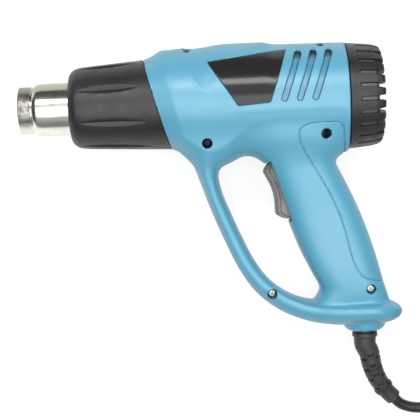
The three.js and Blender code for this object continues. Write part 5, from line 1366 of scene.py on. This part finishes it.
def screw(name, x, y, seat):
    """Screw: a domed head, lower by a share of its radius squared, with a cross recess whose arms narrow
    downwards, and its shank, in rings about z. Each is turned by an angle that follows its place."""
    turn = np.linspace(0, 2 * np.pi, 96, endpoint=False)
    foot = seat + SCREW_LIFT
    head = np.concatenate([[0], np.linspace(0.15, 2.2, 20), [2.4, 2.58, SCREW_HEAD_RADIUS]])
    fall = SCREW_DOME * (head / SCREW_HEAD_RADIUS) ** 2
    fall = fall + SCREW_ROUND * step_up(2.1, SCREW_HEAD_RADIUS + 0.1, head)
    east, north = head[:, None] * np.cos(turn), head[:, None] * np.sin(turn)
    arm = 1 - step_up(0.3, 0.55, np.minimum(np.abs(east), np.abs(north)))
    recess = SCREW_RECESS * arm * (1 - step_up(1.2, 1.75, head))[:, None]
    shank = np.array([
        (SCREW_HEAD_RADIUS, foot), (SCREW_SHANK_RADIUS, foot), (SCREW_SHANK_RADIUS, seat - SCREW_LENGTH + 2),
        (0, seat - SCREW_LENGTH),
    ])
    east = np.vstack([east, shank[:, :1] * np.cos(turn)])
    north = np.vstack([north, shank[:, :1] * np.sin(turn)])
    height = np.vstack([(foot + SCREW_HEAD_HEIGHT - fall)[:, None] - recess, shank[:, 1:] + 0 * turn])
    # The recess's share of its depth is the painted shade in the cross
    hollow = np.vstack([recess / SCREW_RECESS, np.zeros((len(shank), len(turn)))])
    spin = 0.4 * x + 0.7 * y
    px = x + east * math.cos(spin) - north * math.sin(spin)
    py = y + east * math.sin(spin) + north * math.cos(spin)
    return marked(name, placed(np.stack([px, py, height], -1)), False, hollow=hollow)


# Screws 3 and 4 are plain zinc; the others, deep in their wells, take the darker steel as painted shade
for number, (screw_x, screw_y, screw_seat) in enumerate(SCREWS, 1):
    piece(screw(f"cross_screw_{number}", screw_x, screw_y, screw_seat), "tool",
          SCREW if number in (3, 4) else DEEP_SCREW_SHADED, (f"housing_screw_{number}",), 32)


# Rocker switch

ROCKER_WAIST = 9.4
ROCKER_NOSE = 12.3
ROCKER_CROWN = 2.6
RIB_PITCH = 2.4
RIB_DEPTH = 0.4
ROCKER_LEVELS = (-0.93, -0.8, -0.6, -0.3, 0, 0.3, 0.6, 0.8, 0.93)
CHEEK_MIDDLE = 3
CHEEK_FLAT = 2.2

# Rows of the rocker's cheek: share of the half width, inset from the outline, and 1 in the groove, where
# shade is painted
CHEEK = [
    (0.96, 0.25, 0), (1, 0.5, 0), (1, 1.3, 0), (0.955, 1.5, 1), (0.955, 1.9, 1), (1, 2.1, 0), (1, 3.6, 0),
    (1, 5.2, 0),
]


def rocker_outline(grow):
    """Outline in u and v: ribbed front between the noses, rounded ends and the back, in even steps."""
    long = ROCKER_HALF_LENGTH
    side = [
        (6, ROCKER_WAIST + 0.5 + grow), (long - 6.2, ROCKER_NOSE + grow), (long - 1.6, 7.4 + 0.6 * grow),
        (long, 0.5), (14, -1.5), (5, -3.2),
    ]
    corners = [(0, ROCKER_WAIST + grow)] + side + [(0, -4.4)] + [(-u, v) for u, v in side[::-1]]
    line = rounded_line(corners + corners[:1], 2.2, 9)
    run = lengths(line)
    return even(line, np.linspace(0, run[-1], 421)[:-1])


def rocker_section(level, inset):
    """The rocker's outline at a share of the half width, whose front is crowned by 1 - level^2, sunk by
    the ribs along 0.5 - 0.5 cos and drawn in by an inset: square to itself, or towards the pivot on the
    flat cheek."""
    line = rocker_outline(-ROCKER_CROWN * level**2)
    tangent = np.roll(line, -1, axis=0) - np.roll(line, 1, axis=0)
    tangent /= np.linalg.norm(tangent, axis=1)[:, None]
    inward = np.column_stack([tangent[:, 1], -tangent[:, 0]])
    if inset > CHEEK_FLAT:
        inward = -line / np.linalg.norm(line, axis=1)[:, None]
    front = step_up(4, 7.5, line[:, 1]) * (1 - step_up(14.5, 16.5, np.abs(line[:, 0])))
    middle = 1 - step_up(0.5, 0.9, abs(level))
    rib = (0.5 - 0.5 * np.cos(2 * np.pi * line[:, 0] / RIB_PITCH)) * front * middle
    return line + inward * (inset + RIB_DEPTH * rib)[:, None]


def rocker():
    """Rocker: sections across the width between two cheeks, each with a lip, a groove behind it and a flat
    middle, tilted about the pivot."""
    rows = [(-level, inset, dark) for level, inset, dark in CHEEK[::-1]]
    rows += [(level, 0, 0) for level in ROCKER_LEVELS] + CHEEK
    u, v = np.moveaxis(np.array([rocker_section(level, inset) for level, inset, _ in rows]), -1, 0)
    # The groove rows' 1 marks where painted shade goes
    level, _, dark = np.array(rows, float).T
    z = ROCKER_HALF_WIDTH * level[:, None] + 0 * u
    dark = dark[:, None] + 0 * u
    u = np.vstack([0 * u[:1], u, 0 * u[:1]])
    v = np.vstack([0 * v[:1] + CHEEK_MIDDLE, v, 0 * v[:1] + CHEEK_MIDDLE])
    z, dark = (np.vstack([row[:1], row, row[-1:]]) for row in (z, dark))
    tilted_u = u * math.cos(ROCKER_TILT) - v * math.sin(ROCKER_TILT)
    tilted_v = u * math.sin(ROCKER_TILT) + v * math.cos(ROCKER_TILT)
    x = PIVOT[0] + tilted_u * math.sin(GRIP_LEAN) - tilted_v * math.cos(GRIP_LEAN)
    y = PIVOT[1] - tilted_u * math.cos(GRIP_LEAN) - tilted_v * math.sin(GRIP_LEAN)
    return marked("switch_rocker_cap", placed(np.stack([x, y, z], -1)), False, hollow=dark)


piece(rocker(), "rocker", ROCKER, ("switch_rocker",), 32)


# Strain relief

RELIEF_ROUTE = [
    (248.6, -188, 20.4), (250.6, -197.5, 18), (253.6, -206, 15.2), (258.2, -214, 12), (262.4, -219.4, 9.9),
    RELIEF_END,
]
RELIEF_STATIONS = [
    (0, 9.4), (2.6, 9.4), (3, 9), (3.1, 7), (8, 7), (8.1, 9), (8.5, 9.2), (10.8, 9.2), (11.2, 8.9),
    (11.6, 8.1), (26.3, 7.5), (34.5, 7.3), (42.5, 7), (50.5, 6.7), (54.6, 6.5), (54.7, 7.4), (57, 7.2),
    (57.4, 6.2),
]
RELIEF_CORE = 5.1
RELIEF_GAPS = (27.4, 35.5, 43.5, 51.5)
RELIEF_GAP_HALF_WIDTH = 0.95


def relief():
    """Strain relief: rings along its route whose radius follows the stations. Gaps cut to the core at the
    flanks alternate with small ones at the front and back, where a shallow seam runs on from the large
    ones."""
    start = to_table([(CORD_X, y, 0) for y in (-165.3, -170, -177, -182.5)])
    route = spline(np.vstack([start, RELIEF_ROUTE]), 16)
    reach = lengths(route)[-1]
    stations = np.array(RELIEF_STATIONS)
    at = np.union1d(np.arange(0, reach, 0.22), stations[:, 0][stations[:, 0] < reach])
    line = even(route, at)
    _, side, up = frames_along(line)
    turn = np.linspace(0, 2 * np.pi, 96, endpoint=False)
    radius = np.interp(at, stations[:, 0], stations[:, 1])[:, None] + 0 * turn
    flank = np.abs(np.cos(turn))
    for middle in RELIEF_GAPS:
        beside = 1 - step_up(RELIEF_GAP_HALF_WIDTH - 0.15, RELIEF_GAP_HALF_WIDTH + 0.15, np.abs(at - middle))
        radius -= (radius - RELIEF_CORE) * beside[:, None] * step_up(0.5, 0.62, flank)
        ahead = 1 - step_up(0.75, 1.05, np.abs(at - middle + 2.9))
        radius -= (radius - RELIEF_CORE) * ahead[:, None] * (1 - step_up(0.2, 0.32, flank))
        seam = 1 - step_up(0.1, 0.4, np.abs(at - middle))
        radius -= 0.5 * seam[:, None] * (1 - step_up(0.5, 0.62, flank))
    ring = np.cos(turn)[:, None] * side[:, None] + np.sin(turn)[:, None] * up[:, None]
    rings = line[:, None] + radius[..., None] * ring
    closed = np.vstack([0 * rings[:1] + line[0], rings, 0 * rings[:1] + line[-1]])
    return surface("strain_relief_sleeve", on_table(closed))


piece(relief(), "tool", RELIEF, ("strain_relief",), 32)


# Plug

PLUG_X = TAIL_ROUTE[-1][0]
PLUG_START = TAIL_ROUTE[-1][1] + 0.3
PLUG_SLEEVE = 24
PLUG_LENGTH = 33
PLUG_HALF_HEIGHT = 6.5
PLUG_HALF_WIDTH = 15
PLUG_SHOULDER = 6
PLUG_TAPER = 12
PLUG_ROUND = 1.3
PIN_SPACING = 19
PIN_RADIUS = 2
PIN_LENGTH = 19


def plug():
    """Plug: superellipses along y whose half width, half height and power follow the stations: a ribbed
    sleeve, the shoulder, the flat body with finger grooves across it and a rounded face."""
    end = PLUG_SLEEVE + PLUG_LENGTH
    full = PLUG_SLEEVE + PLUG_TAPER
    wide = through([
        (0, CORD_RADIUS + 1), (PLUG_SLEEVE - 2, PLUG_SHOULDER), (PLUG_SLEEVE + 1, PLUG_SHOULDER + 1.6),
        (full - 1, PLUG_HALF_WIDTH - 0.4), (full + 3, PLUG_HALF_WIDTH), (end, PLUG_HALF_WIDTH - 0.3),
    ])
    high = through([
        (0, CORD_RADIUS + 1), (PLUG_SLEEVE - 2, PLUG_SHOULDER), (PLUG_SLEEVE + 4, PLUG_HALF_HEIGHT),
        (end, PLUG_HALF_HEIGHT),
    ])
    corner = end - PLUG_ROUND * (1 - np.sin(np.linspace(0.1, 1, 6) * np.pi / 2))
    at = np.concatenate([[0.01], np.arange(0.3, end - PLUG_ROUND, 0.4), corner])
    power = 2 + 1.8 * step_up(PLUG_SLEEVE - 3, full, at)
    rib = 0.45 * (1 - step_up(0.25, 0.55, np.abs(np.mod(at, 4) - 2))) * (at > 3) * (at < PLUG_SLEEVE - 4)
    grip_rib = 0.5 * (1 - step_up(0.2, 0.6, np.abs(np.mod(at - full, 3) - 1.5)))
    grip_rib = grip_rib * (at > full + 2) * (at < full + 15)
    past = np.maximum(at - end + PLUG_ROUND, 0)
    off = PLUG_ROUND - np.sqrt(np.maximum(PLUG_ROUND**2 - past**2, 0))
    turn = np.linspace(0, 2 * np.pi, 96, endpoint=False)
    c, s = np.cos(turn), np.sin(turn)
    shape = 2 / power[:, None]
    a = (wide(at) - rib - off)[:, None] * np.sign(c) * np.abs(c) ** shape
    b = (high(at) - rib - off)[:, None] - (grip_rib[:, None] * (np.abs(c) < 0.75))
    b = b * np.sign(s) * np.abs(s) ** shape
    x = PLUG_X + np.vstack([0 * a[:1], a, 0 * a[:1]])
    z = PLUG_HALF_HEIGHT + np.vstack([0 * b[:1], b, 0 * b[:1]])
    y = PLUG_START + np.concatenate([at[:1], at, at[-1:]])[:, None] + 0 * a[:1]
    return surface("plug_shell", on_table(np.stack([x, y, z], -1)))


def pin(name, sign):
    """Pin: a round bar along y with a domed tip and a seat ring at the plug's face."""
    start = PLUG_START + PLUG_SLEEVE + PLUG_LENGTH - 0.4
    end = start + PIN_LENGTH + 0.7
    seat = PIN_RADIUS + 0.25
    dome = np.linspace(0, math.pi / 2, 9)
    profile = np.vstack([
        [(start, 0), (start, seat), (start + 0.9, seat), (start + 1.1, PIN_RADIUS)],
        np.column_stack([end - PIN_RADIUS + PIN_RADIUS * np.sin(dome), PIN_RADIUS * np.cos(dome)]),
    ])
    turn = np.linspace(0, 2 * np.pi, 40, endpoint=False)
    x = PLUG_X + sign * PIN_SPACING / 2 + profile[:, 1:] * np.cos(turn)
    z = PLUG_HALF_HEIGHT + profile[:, 1:] * np.sin(turn)
    y = profile[:, :1] + 0 * x
    return surface(name, on_table(np.stack([x, y, z], -1)))


plug_shell = piece(plug(), "tool", CORD, ("plug_body",), 32)
PIN_STEEL = metal_finish("pin_nickel", shade(196, 190, 176), 0.22)
pins = [piece(pin(f"plug_contact_{n}", sign), "tool", PIN_STEEL, (f"plug_pin_{n}",), 32)
        for n, sign in ((1, -1), (2, 1))]


# Finishes of the parts inside, which stay as the frame has them

INNER = plain_finish("inner_moulding", shade(206, 204, 196), 0.5)
CASE = plain_finish("capacitor_yellow", shade(196, 170, 74), 0.35)
BROWN = plain_finish("wire_brown", shade(104, 66, 42), 0.4)
BLUE = plain_finish("wire_blue", shade(48, 86, 158), 0.4)
MOTOR = metal_finish("motor_zinc", shade(188, 188, 182), 0.32)
FERRITE = plain_finish("magnet_ferrite", shade(58, 56, 56), 0.7, 0.003)
FAN = plain_finish("fan_nylon", shade(190, 60, 48), 0.4)
BOARD = plain_finish("board_green", shade(42, 104, 66), 0.4)
MICA = mica_finish()
NICHROME = metal_finish("heater_wire", shade(148, 138, 124), 0.4, 0.002)
SHAFT = metal_finish("ground_steel", shade(178, 178, 176), 0.2)
COPPER = metal_finish("wound_copper", shade(184, 110, 70), 0.34, 0.002)

SHOWN = {
    SHAFT: ("rocker_pin", "motor_shaft"),
    DARK: ("switch_body", "diode_1", "diode_2", "diode_3", "diode_4"),
    BRASS: ("switch_terminal_1", "switch_terminal_2", "switch_terminal_3"),
    CORD: ("inner_cord",),
    INNER: ("cord_clamp", "fan_shroud", "air_guide", "motor_end_cap"),
    SCREW: ("clamp_screw_1", "clamp_screw_2"),
    CASE: ("capacitor",),
    BROWN: ("wire_live", "wire_motor"),
    BLUE: ("wire_neutral", "wire_heater"),
    MOTOR: ("motor_can", "motor_bush_front", "motor_bush_rear", "thermal_cutout"),
    FERRITE: ("magnet_1", "magnet_2"),
    COPPER: ("armature", "commutator"),
    FAN: ("fan",),
    BOARD: ("rectifier_board",),
    MICA: ("heater_former", "heater_plate_front", "heater_plate_rear", "mica_sleeve"),
    NICHROME: ("heater_coil",),
}
for finish, names in SHOWN.items():
    for name in names:
        for slot in bpy.data.objects[name].material_slots:
            slot.material = finish


# Studio: two long lamps overhead, a world whose grey follows the angle, and a floor that looks white

LAMP_AWAY = 1.2
LAMP_LENGTH = 1.8
HORIZON = 0.03
FLOOR_HALF_SIDE = 4
FLOOR_COLOR = 0.45
FLOOR_SEEN_COLOR = 0.3
FLOOR_GLOW = 0.8

# Greys of the world: degrees from straight up towards the top of the picture, and the grey there
SKY = [
    (-100, 0.26), (-78, 0.26), (-66, 0.28), (-48, 0.52), (-32, 0.45), (-20, 0.3), (6, 0.8), (30, 0.8),
    (42, 0.12), (80, 0.12), (96, 0.5),
]


def ramp(tree, source, stops):
    """A colour ramp of greys at the given places, linear between them."""
    made = tree.nodes.new("ShaderNodeValToRGB")
    elements = made.color_ramp.elements
    for _ in range(len(stops) - 2):
        elements.new(0.5)
    for element, (at, grey) in zip(elements, stops):
        element.position = at
        element.color = (grey, grey, grey, 1)
    tree.links.new(source, made.inputs["Fac"])
    return made.outputs["Color"]


def combined(tree, operation, first, second):
    """A Math node's result on two sources, the second of which may be a number."""
    made = tree.nodes.new("ShaderNodeMath")
    made.operation = operation
    for source, target in zip((first, second), made.inputs):
        if isinstance(source, (int, float)):
            target.default_value = source
        else:
            tree.links.new(source, target)
    return made.outputs[0]


def shown_to_view(tree, seen, plain, gloss=1):
    """Gives one shader to rays from the camera, through glass or off a gloss, the last by a share, and
    another to the rest."""
    path = tree.nodes.new("ShaderNodeLightPath").outputs
    glossy = combined(tree, "MULTIPLY", path["Is Glossy Ray"], gloss)
    direct = combined(tree, "MAXIMUM", path["Is Camera Ray"], path["Is Transmission Ray"])
    mix = tree.nodes.new("ShaderNodeMixShader")
    tree.links.new(combined(tree, "MAXIMUM", direct, glossy), mix.inputs[0])
    tree.links.new(plain, mix.inputs[1])
    tree.links.new(seen, mix.inputs[2])
    return mix.outputs[0]


def sky():
    """World: its grey follows the angle from straight up towards the top of the picture, and fades to the
    sides by 1 - x^2. The camera sees it white, and so does gloss along the horizon."""
    world = bpy.data.worlds.new("studio")
    bpy.context.scene.world = world
    world.use_nodes = True
    tree = world.node_tree
    around = tree.nodes["Background"]
    direction = tree.nodes.new("ShaderNodeTexCoord").outputs["Generated"]
    apart = tree.nodes.new("ShaderNodeSeparateXYZ")
    tree.links.new(direction, apart.inputs[0])
    angle = combined(tree, "ARCTAN2", apart.outputs["Y"], apart.outputs["Z"])
    share = tree.nodes.new("ShaderNodeMapRange")
    share.inputs["From Min"].default_value = -math.pi
    share.inputs["From Max"].default_value = math.pi
    tree.links.new(angle, share.inputs["Value"])
    grey = ramp(tree, share.outputs["Result"], [((at + 180) / 360, tone) for at, tone in SKY])
    tree.links.new(grey, around.inputs["Color"])
    wide = combined(tree, "MULTIPLY", apart.outputs["X"], apart.outputs["X"])
    tree.links.new(combined(tree, "SUBTRACT", 1, wide), around.inputs["Strength"])
    white = tree.nodes.new("ShaderNodeBackground")
    white.inputs["Color"].default_value = (1, 1, 1, 1)
    out = tree.nodes["World Output"]
    horizon = combined(tree, "COMPARE", apart.outputs["Z"], 0)
    horizon.node.inputs[2].default_value = HORIZON
    tree.links.new(shown_to_view(tree, white.outputs[0], around.outputs[0], horizon), out.inputs["Surface"])


def floor():
    """Floor: pale, with a soft shadow. To the camera and in gloss it is darker but glows, so that its open
    parts show as white."""
    sides = (-FLOOR_HALF_SIDE, FLOOR_HALF_SIDE)
    corners = np.array([[(x, y, 0) for x in sides] for y in sides], float)
    plane = surface("studio_floor", corners, closed_columns=False)
    made = bpy.data.objects.new("studio_floor", plane)
    bpy.context.scene.collection.objects.link(made)
    finish = bpy.data.materials.new("floor_white")
    finish.use_nodes = True
    tree = finish.node_tree
    matt, seen = [tree.nodes.new("ShaderNodeBsdfDiffuse") for _ in range(2)]
    matt.inputs["Color"].default_value = (FLOOR_COLOR, FLOOR_COLOR, FLOOR_COLOR, 1)
    seen.inputs["Color"].default_value = (FLOOR_SEEN_COLOR, FLOOR_SEEN_COLOR, FLOOR_SEEN_COLOR, 1)
    glow = tree.nodes.new("ShaderNodeEmission")
    glow.inputs["Strength"].default_value = FLOOR_GLOW
    both = tree.nodes.new("ShaderNodeAddShader")
    tree.links.new(seen.outputs[0], both.inputs[0])
    tree.links.new(glow.outputs[0], both.inputs[1])
    out = tree.nodes["Material Output"]
    tree.links.new(shown_to_view(tree, both.outputs[0], matt.outputs[0]), out.inputs["Surface"])
    plane.materials.append(finish)


def softbox(name, lean, half_angle, glow):
    """Softbox: a long lamp over the table, square to a line that leans towards the top of the picture. Its
    power is glow times its area times pi, so that it shines with that radiance."""
    width = 2 * LAMP_AWAY * math.tan(math.radians(half_angle))
    lean = math.radians(lean)
    lamp = bpy.data.objects.new(name, bpy.data.lights.new(name, "AREA"))
    lamp.data.shape = "RECTANGLE"
    lamp.data.size = LAMP_LENGTH
    lamp.data.size_y = width
    lamp.data.energy = glow * LAMP_LENGTH * width * math.pi
    lamp.location = (0, LAMP_AWAY * math.sin(lean), LAMP_AWAY * math.cos(lean))
    lamp.rotation_euler = (-lean, 0, 0)
    lamp.visible_camera = False
    bpy.context.scene.collection.objects.link(lamp)


sky()
floor()
softbox("strip_lamp", 34.5, 5, 8)
softbox("top_lamp", -10, 19, 2.5)
bpy.context.scene.view_settings.view_transform = "Standard"
